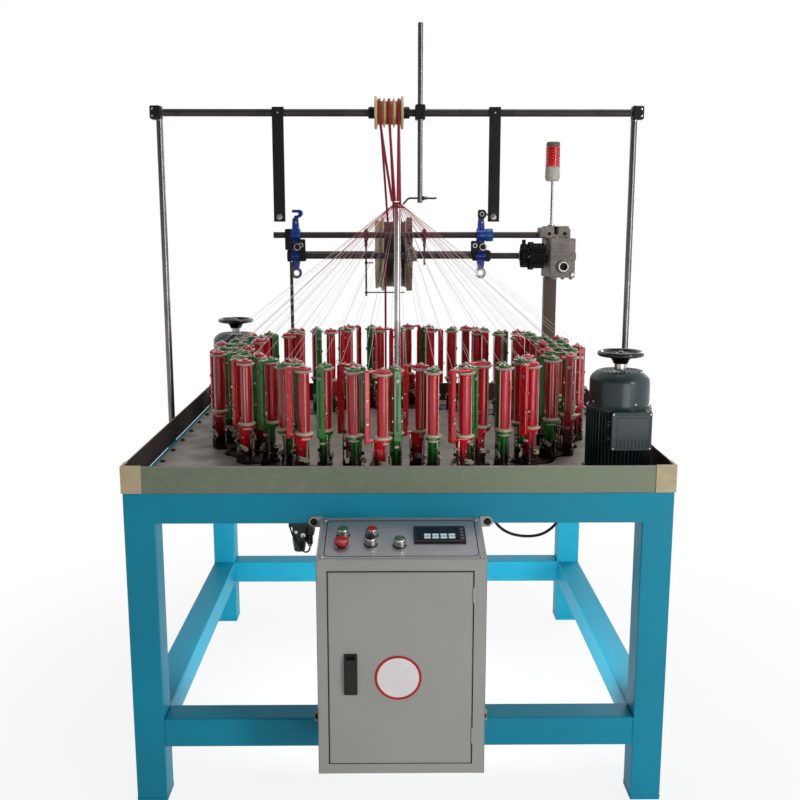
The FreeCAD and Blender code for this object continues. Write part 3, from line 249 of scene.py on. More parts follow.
class Surface(Enum):
    """The ways in which this machine's parts are finished."""

    PAINT = "sprayed paint"
    HAMMER = "hammered casting paint"
    GROUND = "ground or rolled steel"
    SPANGLE = "galvanised sheet"
    PLASTIC = "moulded plastic"
    YARN = "wound yarn"
    FAN = "yarns that draw together"
    BRAID = "braided cord"
    TURNED = "drawn bar"


PAINT, HAMMER, GROUND, SPANGLE, PLASTIC, YARN, FAN, BRAID, TURNED = Surface


class Pattern:
    """What varies over a piece: a mask of the second colour, a bump, and how much the mask roughens."""

    def __init__(self, recipe: Recipe, scale: float) -> None:
        """Reads Object coordinates, for a pattern so many times as fine as the usual one."""
        self.recipe, self.where, self.scale = recipe, recipe.place(), scale

    def noise(self, scale: float, detail: float = 2.0, rough: float = 0.5) -> Wire:
        """Fractal noise of 0 to 1 at so many cycles a metre."""
        return self.recipe.noise(self.where, scale, detail, rough)

    def drawn(self, scale: Triple, detail: float = 2.0, turn: Triple = (0, 0, 0)) -> Wire:
        """Noise with its own number of cycles a metre along each axis."""
        return self.recipe.noise(self.recipe.stretch(self.where, scale, turn), 1.0, detail)

    def paint(self) -> Look:
        """Orange peel in the gloss, and dust that lies unevenly."""
        cloud = self.noise(5 * self.scale, 4).ramp(0.35, 0.75)
        speck = self.noise(260).ramp(0.62, 0.7)
        return cloud * 0.75 + speck * 0.25, self.noise(420, 1) * 0.25 + speck * 0.2, 0.14

    def hammer(self) -> Look:
        """Shallow round dimples of hammered paint over a sand casting."""
        sockets = {"Vector": self.where, "Scale": 170 * self.scale}
        dimple = self.recipe.node("TexVoronoi", {"feature": "SMOOTH_F1"}, sockets).ramp(0.1, 0.7)
        cloud = self.noise(18, 4).ramp(0.3, 0.8)
        return dimple * 0.45 + cloud * 0.55, dimple * 1.2 + self.noise(700, 3) * 0.35, 0.2

    def ground(self) -> Look:
        """Fine scratches along and across, with handling smudges."""
        along, across = self.drawn((9, 900, 900)), self.drawn((700, 12, 700), 2, (0, 0, 0.3))
        smudge = self.noise(9 * self.scale, 5, 0.6).ramp(0.38, 0.72)
        spot = self.noise(85, 3, 0.7).ramp(0.6, 0.75)
        return smudge * 0.6 + along * 0.2 + spot * 0.2, along * 0.2 + across * 0.12 - spot * 0.2, 0.25

    def turned(self) -> Look:
        """Drawn bar: almost smooth, with oil and handling in slow clouds."""
        cloud = self.noise(14 * self.scale, 4).ramp(0.35, 0.7)
        speck = self.noise(160, 3, 0.7).ramp(0.6, 0.74)
        return cloud * 0.8 + speck * 0.2, speck * 0.02 + self.noise(500, 1) * 0.01, 0.12

    def spangle(self) -> Look:
        """Zinc crystals in patches of slightly different grey."""
        cell = self.recipe.node("TexVoronoi", {}, {"Vector": self.where, "Scale": 75 * self.scale}, out=1)
        tone, fine = cell.axis(0), self.drawn((40, 40, 400), 3)
        cloud = self.noise(6, 4).ramp(0.3, 0.7)
        return tone * 0.45 + cloud * 0.35 + fine * 0.2, tone * 0.12 + fine * 0.1, 0.22

    def plastic(self) -> Look:
        """A mould's fine grain, with slow clouds in the tone."""
        grain = self.noise(900 * self.scale)
        return self.noise(22, 3).ramp(0.35, 0.75) * 0.8 + grain * 0.2, grain * 0.35, 0.12

    def yarn(self) -> Look:
        """Turns of yarn wound level on a package, with brighter filaments."""
        sockets = {"Vector": self.where, "Scale": 190 * self.scale, "Distortion": 1.4, "Detail": 2.0}
        wound = self.recipe.node("TexWave", {"bands_direction": "Z", "wave_profile": "SIN"}, sockets)
        tuft, cloud = self.drawn((240, 240, 1400)), self.noise(30, 3).ramp(0.4, 0.8)
        return tuft * 0.4 + cloud * 0.45 + wound * 0.15, wound * 0.06 + tuft * 0.03, 0.08

    def fan(self) -> Look:
        """Yarns painted pale away from the machine's axis as a painted highlight that washes them out, in
        their own red where they draw together near the axis.
        """
        side, depth = self.where.axis(0), self.where.axis(1) - TABLE_Y / 1000
        return ((side * side + depth * depth) ** 0.5).ramp(0.06, 0.3, 1, 0), self.noise(400), 0.1

    def braid(self) -> Look:
        """Strands that cross each other round the cord."""
        one, two = [self.recipe.node("TexWave", {"bands_direction": "DIAGONAL"}, {
            "Vector": self.recipe.stretch(self.where, (side, 1, 1)), "Scale": 130, "Distortion": 0.6,
        }) for side in (1, -1)]
        cross, tuft = one.math("MAXIMUM", two), self.noise(600)
        return cross * 0.35 + tuft * 0.35, cross + tuft * 0.3, 0.1


@dataclass(frozen=True)
class Finish:
    """One material: its surface, its two colours and its gloss."""

    name: str
    slot: str
    surface: Surface
    colour: Triple
    second: Triple
    rough: float = 0.4
    metal: float = 0.0
    coat: float = 0.0
    scale: float = 1.0
    glow: float = 0.0
    grime: bool = False
    OIL: ClassVar[Triple] = (20, 12, 10)
    SPLASHED: ClassVar[Pair] = (0.905, 0.985)  # metres over the floor, from all painted shade to none

    def material(self) -> bpy.types.Material:
        """The material, made at the first call and found by name afterwards."""
        return bpy.data.materials.get(f"{self.name}_look") or self._make()

    def _make(self) -> bpy.types.Material:
        """Builds the tree: pattern, colour, roughness and bump on one shader."""
        recipe = Recipe(bpy.data.materials.new(f"{self.name}_look"))
        pattern = Pattern(recipe, self.scale)
        mask, height, lift = getattr(pattern, self.surface.name.lower())()
        rough = mask.ramp(0, 1, self.rough, min(1.0, self.rough + lift))
        bump = recipe.node("Bump", {}, {"Strength": 0.6, "Distance": 0.0006, "Height": height})
        colour = mask.mix(self.colour, self.second)
        # Painted shade: the colour darkens towards the deck, where the carriers' lower stems stand in shade.
        if self.grime:
            unshaded = (pattern.where.axis(2) + pattern.noise(45, 3) * 0.05).ramp(*self.SPLASHED)
            colour = unshaded.mix(self.OIL, colour)
        sockets = {
            "Base Color": colour, "Roughness": rough, "Metallic": self.metal, "Specular IOR Level": 0.3,
            "Normal": bump, "Coat Weight": self.coat, "Coat Roughness": 0.08, "IOR": 1.5,
        }
        if self.glow:
            sockets |= {"Emission Color": self.colour, "Emission Strength": self.glow}
        shader = recipe.node("BsdfPrincipled", {}, sockets)
        recipe.node("OutputMaterial", {}, {"Surface": shader})
        recipe.owner.diffuse_color = linear(self.colour)
        return recipe.owner


class Shape:
    """A mesh in the making, in millimetres, shaped by bmesh operators."""

    def __init__(self) -> None:
        """An empty mesh."""
        self.bm = bmesh.new()

    def _move(self, verts: list, matrix: Matrix) -> None:
        """Transforms vertices."""
        bmesh.ops.transform(self.bm, matrix=matrix, verts=verts)

    def _soften(self, edges: Iterable, soft: float, segments: int = 2,
                bm: bmesh.types.BMesh | None = None) -> None:
        """Rounds edges of this mesh, or of another, by a radius."""
        bmesh.ops.bevel(bm or self.bm, geom=list(edges), offset=soft, offset_type="OFFSET", segments=segments,
                        profile=0.5, affect="EDGES", material=-1, clamp_overlap=True)

    def box(self, low: Point, high: Point, soft: float = 1.0, segments: int = 2,
            place: Matrix | None = None) -> Shape:
        """A block between two corners, with rounded edges.

        Args:
            low: One corner.
            high: The other corner.
            soft: Radius of the edges, or 0.
            segments: Faces across each rounded edge.
            place: Where the block's own axes lie.

        Returns:
            This shape.
        """
        a, b = Vector(low), Vector(high)
        size = Vector([abs(h - l) for l, h in zip(a, b)])
        verts = bmesh.ops.create_cube(self.bm, size=1)["verts"]
        self._move(verts, Matrix.Translation((a + b) / 2) @ Matrix.Diagonal((*size, 1)))
        if place is not None:
            self._move(verts, place)
        if soft:
            self._soften({e for v in verts for e in v.link_edges}, soft, segments)
        return self

    def rod(self, start: Point, end: Point, radius: float, sides: int = 32,
            soft: float = 0.0, end_radius: float | None = None) -> Shape:
        """A round bar or cone between two points, with rounded rims.

        Args:
            start: Centre of the first end.
            end: Centre of the second end.
            radius: Its radius at the start.
            sides: Faces round it.
            soft: Radius of the rims, or 0.
            end_radius: Its radius at the end, where it differs.

        Returns:
            This shape.
        """
        a, b = Vector(start), Vector(end)
        verts = bmesh.ops.create_cone(self.bm, cap_ends=True, segments=sides, radius1=radius,
                                      depth=(b - a).length,
                                      radius2=radius if end_radius is None else end_radius)["verts"]
        self._move(verts, standing((a + b) / 2, b - a))
        if soft:
            edges = {e for v in verts for e in v.link_edges}
            rims = [e for e in edges if any(len(f.verts) == sides for f in e.link_faces)]
            self._soften(rims, soft)
        return self

    def bar(self, start: Point, direction: Point, length: float, *values: float) -> Shape:
        """A rod that runs so far from its first end, along an axis. The other values are a rod's."""
        return self.rod(start, Vector(start) + Vector(direction) * length, *values)

    def turned(self, profile: Sequence[Pair], place: Matrix | None = None, sides: int = 48,
               scallop: float = 0.0) -> Shape:
        """A closed profile of (radius, height) points spun about Z.

        Args:
            profile: The points. Where they don't start on the axis, the last is joined to the first.
            place: Where the spin's axis lies.
            sides: Steps of the spin.
            scallop: How far every other step is pulled in, for a knurled rim.

        Returns:
            This shape.
        """
        bm = bmesh.new()
        closed = [*profile, *profile[:1]] if profile[0][0] else profile
        verts = [bm.verts.new((r, 0, h)) for r, h in closed]
        edges = [bm.edges.new(pair) for pair in zip(verts, verts[1:])]
        bmesh.ops.spin(bm, geom=verts + edges, cent=(0, 0, 0), axis=(0, 0, 1), angle=math.tau, steps=sides,
                       use_merge=True)
        bmesh.ops.remove_doubles(bm, verts=bm.verts, dist=1e-4)
        if scallop:
            widest = max(r for r, _ in profile)
            for v in bm.verts:
                reach = math.hypot(v.co.x, v.co.y)
                step = round(math.atan2(v.co.y, v.co.x) / math.tau * sides)
                if reach > widest * 0.9 and step % 2:
                    v.co.xy *= 1 - scallop / reach
        return self.take(bm, place)

    def take(self, bm: bmesh.types.BMesh, place: Matrix | None = None) -> Shape:
        """Adds another mesh, and frees it.

        Args:
            bm: The mesh.
            place: Where its own axes lie.

        Returns:
            This shape.
        """
        mesh = bpy.data.meshes.new("part")
        bm.to_mesh(mesh)
        bm.free()
        self.stamp(mesh, place or Matrix.Identity(4))
        bpy.data.meshes.remove(mesh)
        return self

    def stamp(self, mesh: bpy.types.Mesh, place: Matrix) -> Shape:
        """Adds a copy of a mesh.

        Args:
            mesh: The mesh.
            place: Where the copy's own axes lie.

        Returns:
            This shape.
        """
        copy = mesh.copy()
        copy.transform(place)
        self.bm.from_mesh(copy)
        bpy.data.meshes.remove(copy)
        return self

    def slab(self, outline: Sequence[Pair], low: float, high: float, place: Matrix | None = None,
             soft: float = 0.0) -> Shape:
        """A flat outline in XY made thick, with rounded edges.

        Args:
            outline: Its corners in order.
            low: Where it starts.
            high: Where it ends.
            place: Where its own axes lie.
            soft: Radius of the edges, or 0.

        Returns:
            This shape.
        """
        bm = bmesh.new()
        face = bm.faces.new([bm.verts.new((x, y, low)) for x, y in outline])
        grown = bmesh.ops.extrude_face_region(bm, geom=[face])["geom"]
        bmesh.ops.translate(bm, verts=[g for g in grown if isinstance(g, bmesh.types.BMVert)],
                            vec=(0, 0, high - low))
        if soft:
            self._soften(bm.edges, soft, bm=bm)
        return self.take(bm, place)

    def hexagon(self, centre: Point, direction: Point, radius: float, height: float) -> Shape:
        """A hexagon head or nut with chamfered corners, which stands on a face."""
        return self.bar(centre, Vector(direction).normalized(), height, radius, 6, min(radius, height) * 0.14)

    def screw(self, centre: Point, direction: Point, radius: float) -> Shape:
        """A domed screw head with a socket, whose middle stands on a face."""
        dome = [(0, 0), (radius, 0), (radius, radius * 0.25), (radius * 0.75, radius * 0.6),
                (radius * 0.45, radius * 0.65), (radius * 0.42, radius * 0.3), (0, radius * 0.3)]
        return self.turned(dome, standing(centre, direction), 12)

    def washer(self, centre: Point, direction: Point, outer: float, inner: float,
               height: float, sides: int = 24) -> Shape:
        """A ring of rectangular section.

        Args:
            centre: The middle of its first face.
            direction: Where it goes from there.
            outer: Its outer radius.
            inner: Its inner radius.
            height: How thick it is.
            sides: Faces round it.

        Returns:
            This shape.
        """
        c = min(height, outer - inner) * 0.15
        ring = [(inner, c), (inner + c, 0), (outer - c, 0), (outer, c), (outer, height - c),
                (outer - c, height), (inner + c, height), (inner, height - c)]
        return self.turned(ring, standing(centre, direction), sides)

    def tube(self, route: Sequence[Point], radius: float, sides: int = 8, smooth: bool = True) -> Shape:
        """A round wire along a route.

        Args:
            route: The points it runs by.
            radius: Half its thickness.
            sides: Faces round it.
            smooth: Whether it takes a spline's smooth line, and not straight runs.

        Returns:
            This shape.
        """
        curve = bpy.data.curves.new("route", "CURVE")
        curve.dimensions, curve.bevel_depth, curve.use_fill_caps = "3D", radius, True
        curve.bevel_resolution, curve.resolution_u = max(0, sides // 4 - 1), 6
        spline = curve.splines.new("NURBS" if smooth else "POLY")
        spline.points.add(len(route) - 1)
        for point, place in zip(spline.points, route):
            point.co = (*place, 1)
        if smooth:
            spline.order_u, spline.use_endpoint_u = 3, True
        maker = bpy.data.objects.new("route", curve)
        mesh = bpy.data.meshes.new_from_object(maker)
        self.stamp(mesh, Matrix.Identity(4))
        bpy.data.objects.remove(maker)
        bpy.data.meshes.remove(mesh)
        bpy.data.curves.remove(curve)
        return self

    def gear(self, teeth: int, tip: float, root: float, start: Point, width: float,
             phase: float = 0.0) -> Shape:
        """A toothed wheel about X, drawn in from a many-sided disc.

        Args:
            teeth: How many teeth it has.
            tip: Radius of the teeth's tips.
            root: Radius between the teeth.
            start: The middle of its left face.
            width: How wide it is.
            phase: How far it is turned, in radians.

        Returns:
            This shape.
        """
        bm = bmesh.new()
        verts = bmesh.ops.create_cone(bm, cap_ends=True, segments=teeth * 4, radius1=tip, radius2=tip,
                                      depth=width)["verts"]
        for v in verts:
            step = round(math.atan2(v.co.y, v.co.x) / math.tau * teeth * 4 - 0.01) % 4
            if step in (0, 3):
                v.co.xy *= root / tip
            lean = (0.12, 0.22, -0.22, -0.12)[step]
            angle = math.tau / teeth / 4 * lean + phase
            v.co.xy = Matrix.Rotation(angle, 2) @ v.co.xy
        caps = [f for f in bm.faces if len(f.verts) > 4]
        bmesh.ops.inset_individual(bm, faces=caps, thickness=root * 0.35)
        bmesh.ops.inset_individual(bm, faces=caps, thickness=root * 0.08, depth=-width * 0.12)
        x, y, z = start
        return self.take(bm, shift(x + width / 2, y, z, "Y", 90))

    def mesh(self) -> bpy.types.Mesh:
        """The finished mesh in millimetres, for stamping."""
        bmesh.ops.recalc_face_normals(self.bm, faces=self.bm.faces)
        mesh = bpy.data.meshes.new("pattern")
        self.bm.to_mesh(mesh)
        return mesh

    def piece(self, name: str, finish: Finish, replaces: Iterable[str] = (), body: str = MACHINE,
              recalculate: bool = True) -> bpy.types.Object:
        """Turns the mesh into a finished piece.

        Args:
            name: The piece's name.
            finish: Its material.
            replaces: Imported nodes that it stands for.
            body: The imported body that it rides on.
            recalculate: Whether its faces are turned outwards and its shading evened.

        Returns:
            The object.
        """
        if recalculate:
            bmesh.ops.recalc_face_normals(self.bm, faces=self.bm.faces)
        self._move(self.bm.verts, Matrix.Scale(0.001, 4) @ Matrix.Translation((0, TABLE_Y, 0)))
        mesh = bpy.data.meshes.new(name)
        self.bm.to_mesh(mesh)
        self.bm.free()
        mesh.shade_smooth()
        mesh.set_sharp_from_angle(angle=math.radians(SHARP))
        mesh.materials.append(finish.material())
        made = bpy.data.objects.new(name, mesh)
        bpy.context.scene.collection.objects.link(made)
        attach(made, body)
        if replaces:
            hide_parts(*replaces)
        if recalculate:
            made.modifiers.new("even_normals", "WEIGHTED_NORMAL").keep_sharp = True
        log.info("%s rides on %s with %d faces", name, body, len(mesh.polygons))
        return made


class Coat:
    """The machine's finishes."""

    TEAL = Finish("teal_paint", "frame_paint", PAINT, (0, 140, 170), (0, 154, 184), 0.5, 0, 0.04)
    DECK = Finish("deck_steel", "ground_steel", GROUND, (154, 148, 138), (112, 106, 96), 0.45, 0.25)
    QUOIT = Finish("quoit_steel", "quoit_steel", GROUND, (70, 62, 58), (38, 33, 31), 0.4, 0.5)
    ZINC_OUT = Finish("zinc_outside", "galvanised", SPANGLE, (104, 118, 100), (134, 138, 118), 0.38, 0.4)
    ZINC_IN = Finish("zinc_inside", "galvanised", SPANGLE, (62, 50, 48), (82, 68, 64), 0.45, 0.25)
    RIM = Finish("zinc_rim", "galvanised", GROUND, (150, 148, 138), (120, 118, 110), 0.35, 0.5)
    CREAM = Finish("cream_cap", "cream_cap", PLASTIC, (204, 190, 154), (186, 170, 134), 0.5)
    MOTOR = Finish("motor_paint", "motor_paint", PAINT, (42, 58, 61), (56, 74, 77), 0.34, 0, 0.25)
    TERMINAL = Finish("terminal_paint", "motor_paint", PAINT, (34, 50, 54), (44, 62, 66), 0.34, 0, 0.1)
    WHEEL = Finish("handwheel_black", "handwheel_black", PLASTIC, (18, 12, 12), (28, 19, 19), 0.2, 0, 0.5)
    BLACK = Finish("clamp_black", "clamp_black", HAMMER, (6, 6, 7), (14, 14, 15), 0.5, 0, 0)
    ROD = Finish("rod_steel", "rod_steel", TURNED, (68, 62, 62), (48, 43, 44), 0.42, 0.15)
    POST = Finish("post_steel", "rod_steel", TURNED, (122, 119, 120), (102, 99, 100), 0.2, 0.85)
    BRIGHT = Finish("bright_steel", "bright_rod", GROUND, (196, 194, 190), (158, 155, 150), 0.18, 0.9)
    ROLLER = Finish("roller_cream", "roller_cream", PLASTIC, (222, 204, 152), (194, 172, 116), 0.42)
    # Reddish brown colour of the roller's groove bottoms.
    WORN = Finish("roller_groove", "roller_cream", PLASTIC, (176, 92, 60), (140, 62, 42), 0.5)
    GEARBOX = Finish("gearbox_grey", "gearbox_grey", HAMMER, (166, 158, 150), (126, 119, 113), 0.5, 0.1, 0.05)
    COLUMN = Finish("column_grey", "gearbox_grey", PAINT, (104, 86, 80), (86, 72, 68), 0.5)
    BLUE = Finish("bracket_blue", "bracket_blue", HAMMER, (14, 36, 122), (34, 80, 182), 0.24, 0, 0.5)
    AZURE = Finish("collar_blue", "bracket_blue", PAINT, (20, 92, 168), (34, 108, 184), 0.3, 0, 0.2)
    TUBE = Finish("tube_steel", "rod_steel", TURNED, (178, 174, 172), (156, 152, 150), 0.16, 0.9)
    DRUM = Finish("drum_dark", "drum_dark", PLASTIC, (30, 23, 26), (42, 33, 36), 0.5)
    FLANGE = Finish("drum_flange", "drum_dark", GROUND, (184, 176, 146), (150, 142, 114), 0.5, 0.05)
    GEAR = Finish("gear_steel", "rod_steel", GROUND, (152, 138, 122), (108, 96, 84), 0.4, 0.3)
    CABINET = Finish("cabinet_grey", "cabinet_grey", PAINT, (171, 171, 165), (163, 163, 158), 0.45, 0, 0.05)
    PANEL = Finish("panel_plate", "cabinet_grey", GROUND, (176, 176, 180), (150, 150, 156), 0.32, 0.5)
    LINE = Finish("panel_line", "black_plastic", PLASTIC, (24, 26, 32), (34, 36, 42), 0.5)
    GREEN_KEY = Finish("green_key", "green_button", PLASTIC, (26, 92, 66), (34, 110, 80), 0.25, 0, 0.3)
    RED_KEY = Finish("red_key", "red_button", PLASTIC, (186, 18, 30), (160, 14, 24), 0.25, 0, 0.4)
    KNOB = Finish("black_knob", "black_plastic", PLASTIC, (14, 14, 16), (26, 26, 28), 0.35)
    SCREEN = Finish("display_glass", "black_plastic", PLASTIC, (14, 18, 34), (22, 28, 48), 0.12, 0, 0.5)
    LIT = Finish("display_lit", "black_plastic", PLASTIC, (190, 214, 226), (214, 230, 236), 0.2, 0, 0.3, 1,
                 0.25)
    SIGN_WHITE = Finish("sign_white", "cabinet_grey", PLASTIC, (250, 244, 244), (242, 236, 236), 0.35)
    SIGN_RED = Finish("sign_red", "red_button", PLASTIC, (196, 30, 34), (178, 24, 28), 0.35)
    LENS = Finish("lens_red", "lens_red", PLASTIC, (214, 14, 20), (226, 34, 36), 0.12, 0, 0.8, 1, 0.05)
    LAMP = Finish("lamp_ivory", "cream_cap", PLASTIC, (216, 213, 204), (200, 196, 186), 0.4)
    CAP_GREY = Finish("lamp_cap", "rod_steel", PLASTIC, (112, 102, 98), (130, 120, 116), 0.35)
    CABLE = Finish("cable_black", "cable_black", PLASTIC, (10, 10, 11), (20, 20, 21), 0.42)
    PUMP = Finish("pump_green", "motor_paint", HAMMER, (16, 34, 30), (30, 52, 46), 0.35, 0.1, 0.2)
    # The carrier paints darken towards the deck as painted shade.
    RED = Finish("carrier_red", "carrier_paint", HAMMER, (230, 18, 36), (190, 8, 24), 0.22, 0, 0.6, 0.6, 0,
                 True)
    LEAF = Finish("carrier_green", "carrier_paint", HAMMER, (44, 148, 50), (20, 96, 32), 0.22, 0, 0.6, 0.6, 0,
                  True)
    PACKAGE = Finish("yarn_package", "braid_yarn", YARN, (216, 20, 40), (176, 10, 30), 0.24, 0, 0.5)
    FLOSS = Finish("bobbin_top", "cream_cap", PLASTIC, (228, 200, 188), (196, 162, 152), 0.4, 0, 0.1)
    IVORY = Finish("bobbin_ivory", "cream_cap", PLASTIC, (230, 220, 194), (186, 174, 150), 0.42, 0, 0.1)
    CHROME = Finish("carrier_chrome", "quoit_steel", GROUND, (190, 186, 178), (84, 76, 68), 0.2, 0.85)
    SHOE = Finish("carrier_shoe", "quoit_steel", HAMMER, (28, 18, 16), (54, 40, 34), 0.36, 0.4)
    # The yarns' pale colour is a painted highlight; the second colour is their own red.
    THREAD = Finish("thread_pale", "braid_yarn", FAN, (255, 250, 246), (196, 40, 56), 0.6)
    CORD = Finish("braid_cord", "braid_yarn", BRAID, (142, 16, 40), (190, 52, 66), 0.55)


@dataclass
class Table:
    """The welded table: legs, beams, lower stretchers and feet."""

    width: float = 1400.0
    depth: float = 1300.0
    top: float = 854.0
    beam: float = 80.0
    stretcher: float = 160.0
    foot: float = 12.0
    ledge: Triple = (20.0, 800.0, 812.0)  # how far it stands out, and its two faces' heights
    weld: float = 1.6

    def build(self) -> None:
        """Welded frames of legs and beams with rounded edges, weld beads, and foot plates."""
        w, d, b = self.width / 2, self.depth / 2, self.beam
        tubes, welds, feet = Shape(), Shape(), Shape()
        arch = [(-w, self.foot), (b - w, self.foot), (b - w, self.top - b), (w - b, self.top - b),
                (w - b, self.foot), (w, self.foot), (w, self.top - 0.2), (-w, self.top - 0.2)]
        for s in SIDES:
            tubes.slab(arch, *sorted((s * d, s * (d - b))), ACROSS_Y, 4)
            for sx in SIDES:
                x, y = sx * (w - b / 2), s * (d - b / 2)
                feet.box((x - b / 2, y - b / 2, 0), (x + b / 2, y + b / 2, self.foot), 2)
                self._bead(welds, x, y, self.foot, b / 2 - 1.0)
        for z in (self.top - b, self.stretcher):
            for s in SIDES:
                x, y = s * (w - b / 2), s * (d - b / 2)
                if z == self.stretcher:
                    tubes.box((b - w, y - b / 2, z), (w - b, y + b / 2, z + b), 5, 3)
                    for t in SIDES:
                        self._seam(welds, (t * (w - b), y, z + b / 2), "Y")
                tubes.box((x - b / 2, b - d, z), (x + b / 2, d - b, z + b - 0.2), 5, 3)
                for t in SIDES:
                    self._seam(welds, (x, t * (d - b), z + b / 2), "X")
        tubes.piece("table_tubes", Coat.TEAL, ["base_frame"])
        welds.piece("table_welds", Coat.TEAL)
        feet.piece("table_feet", Coat.TEAL)
        ledges, (out, low, high) = Shape(), self.ledge
        for s in SIDES:
            ledges.box((s * (w - b), b - d, low), (s * (w - b - out), d - b, high), 1)
            ledges.box((b - w + out, s * (d - b), low), (w - b - out, s * (d - b - out), high), 1)
        ledges.piece("table_ledges", Coat.TEAL)

    def _bead(self, welds: Shape, x: float, y: float, z: float, reach: float) -> None:
        """A bead of weld round a tube's end, which lies so far from the tube's middle."""
        for s in SIDES:
            welds.rod((x - reach, y + s * reach, z), (x + reach, y + s * reach, z), self.weld, 8, 0.5)
            welds.rod((x + s * reach, y - reach, z), (x + s * reach, y + reach, z), self.weld, 8, 0.5)

    def _seam(self, welds: Shape, centre: Triple, along: str) -> None:
        """Upright beads where a side tube meets a leg.

        Args:
            welds: The shape that gets them.
            centre: The middle of the joint.
            along: The axis along which the two beads lie apart.
        """
        (x, y, z), reach = centre, self.beam / 2 - 1.2
        for s in SIDES:
            dx, dy = (0, s * reach) if along == "Y" else (s * reach, 0)
            welds.rod((x + dx, y + dy, z - reach), (x + dx, y + dy, z + reach), self.weld, 8, 0.5)


@dataclass
class Tray:
    """The galvanised walls round the deck, with their corner caps, deck plates and bolts."""

    width: float = 1400.0
    depth: float = 1300.0
    low: float = 854.0
    rim: float = 923.0
    sheet: float = 2.0
    cap: float = 50.0
    cap_wall: float = 2.5
    cap_top: float = 2.9  # how far the caps stand over the rim
    bolt_pitch: float = 128.0
    bolt_in: float = 34.0

    def build(self) -> None:
        """Walls of an outer and an inner face, hems, caps and the deck's fixings."""
        w, d, t = self.width / 2, self.depth / 2, self.sheet
        outer, inner, hem = Shape(), Shape(), Shape()
        for s in SIDES:
            outer.box((-w, s * d, self.low), (w, s * (d - t / 2), self.rim), 0.4, 1)
            outer.box((s * w, t / 2 - d, self.low), (s * (w - t / 2), d - t / 2, self.rim), 0.4, 1)
            inner.box((t / 2 - w, s * (d - t / 2), self.low), (w - t / 2, s * (d - t), self.rim), 0.2, 1)
            inner.box((s * (w - t / 2), t - d, self.low), (s * (w - t), d - t, self.rim), 0.2, 1)
            x, y = s * (w - t / 2), s * (d - t / 2)
            hem.rod((self.cap - w, y, self.rim), (w - self.cap, y, self.rim), 1.9, 10)
            hem.rod((x, self.cap - d, self.rim), (x, d - self.cap, self.rim), 1.9, 10)
        outer.piece("tray_outside", Coat.ZINC_OUT, ["tray_walls"])
        inner.piece("tray_inside", Coat.ZINC_IN)
        hem.piece("tray_hem", Coat.RIM)
        self._caps()
        self._deck()

    def _caps(self) -> None:
        """Moulded angles with a lid, one at each corner."""
        caps = Shape()
        c, wall, top = self.cap, self.cap_wall, self.rim + self.cap_top
        deep = self.sheet + 0.3 + wall
        for sx, sy in CORNERS:
            x, y = sx * self.width / 2, sy * self.depth / 2
            far_x, far_y, out_x, out_y = x - sx * c, y - sy * c, x + sx * wall, y + sy * wall
            outline = [(out_x, out_y), (far_x, out_y), (far_x, y), (x, y), (x, far_y), (out_x, far_y)]
            caps.slab(outline, self.low + 0.2, top, None, 0.9)
            in_x, in_y = x - sx * deep, y - sy * deep
            lid = [(x, y), (far_x, y), (far_x, in_y), (in_x, in_y), (in_x, far_y), (x, far_y)]
            caps.slab(lid, self.rim + 0.2, top, None, 0.5)
        caps.piece("tray_caps", Coat.CREAM, ["tray_corner_caps"])

    def _deck(self) -> None:
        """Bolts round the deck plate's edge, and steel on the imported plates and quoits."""
        for node, finish in (("track_plates", Coat.DECK), ("quoits", Coat.QUOIT)):
            dress(node, finish)
        bolts = Shape()
        w, d = self.width / 2 - self.bolt_in, self.depth / 2 - self.bolt_in
        for length, fixed, flip in ((w, d, False), (d, w, True)):
            count = int(2 * length / self.bolt_pitch)
            for i in range(flip, count + 1 - flip):
                along = -length + 2 * length * i / count
                for s in SIDES:
                    x, y = (s * fixed, along) if flip else (along, s * fixed)
                    bolts.washer((x, y, DECK), UP, 8, 2, 1.2, 16)
                    bolts.hexagon((x, y, DECK + 1.1), UP, 6.2, 4.2)
        bolts.piece("deck_bolts", Coat.BLACK)


def dress(node: str, finish: Finish) -> None:
    """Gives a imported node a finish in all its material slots.

    Args:
        node: The node's name.
        finish: Its material.
    """
    shown = bpy.data.objects[node]
    shown.data.materials.clear()
    shown.data.materials.append(finish.material())
    log.info("%s wears %s", node, finish.name)


class Colour(Enum):
    """The two sets of carriers, which go round opposite ways."""

    RED = Coat.RED
    GREEN = Coat.LEAF


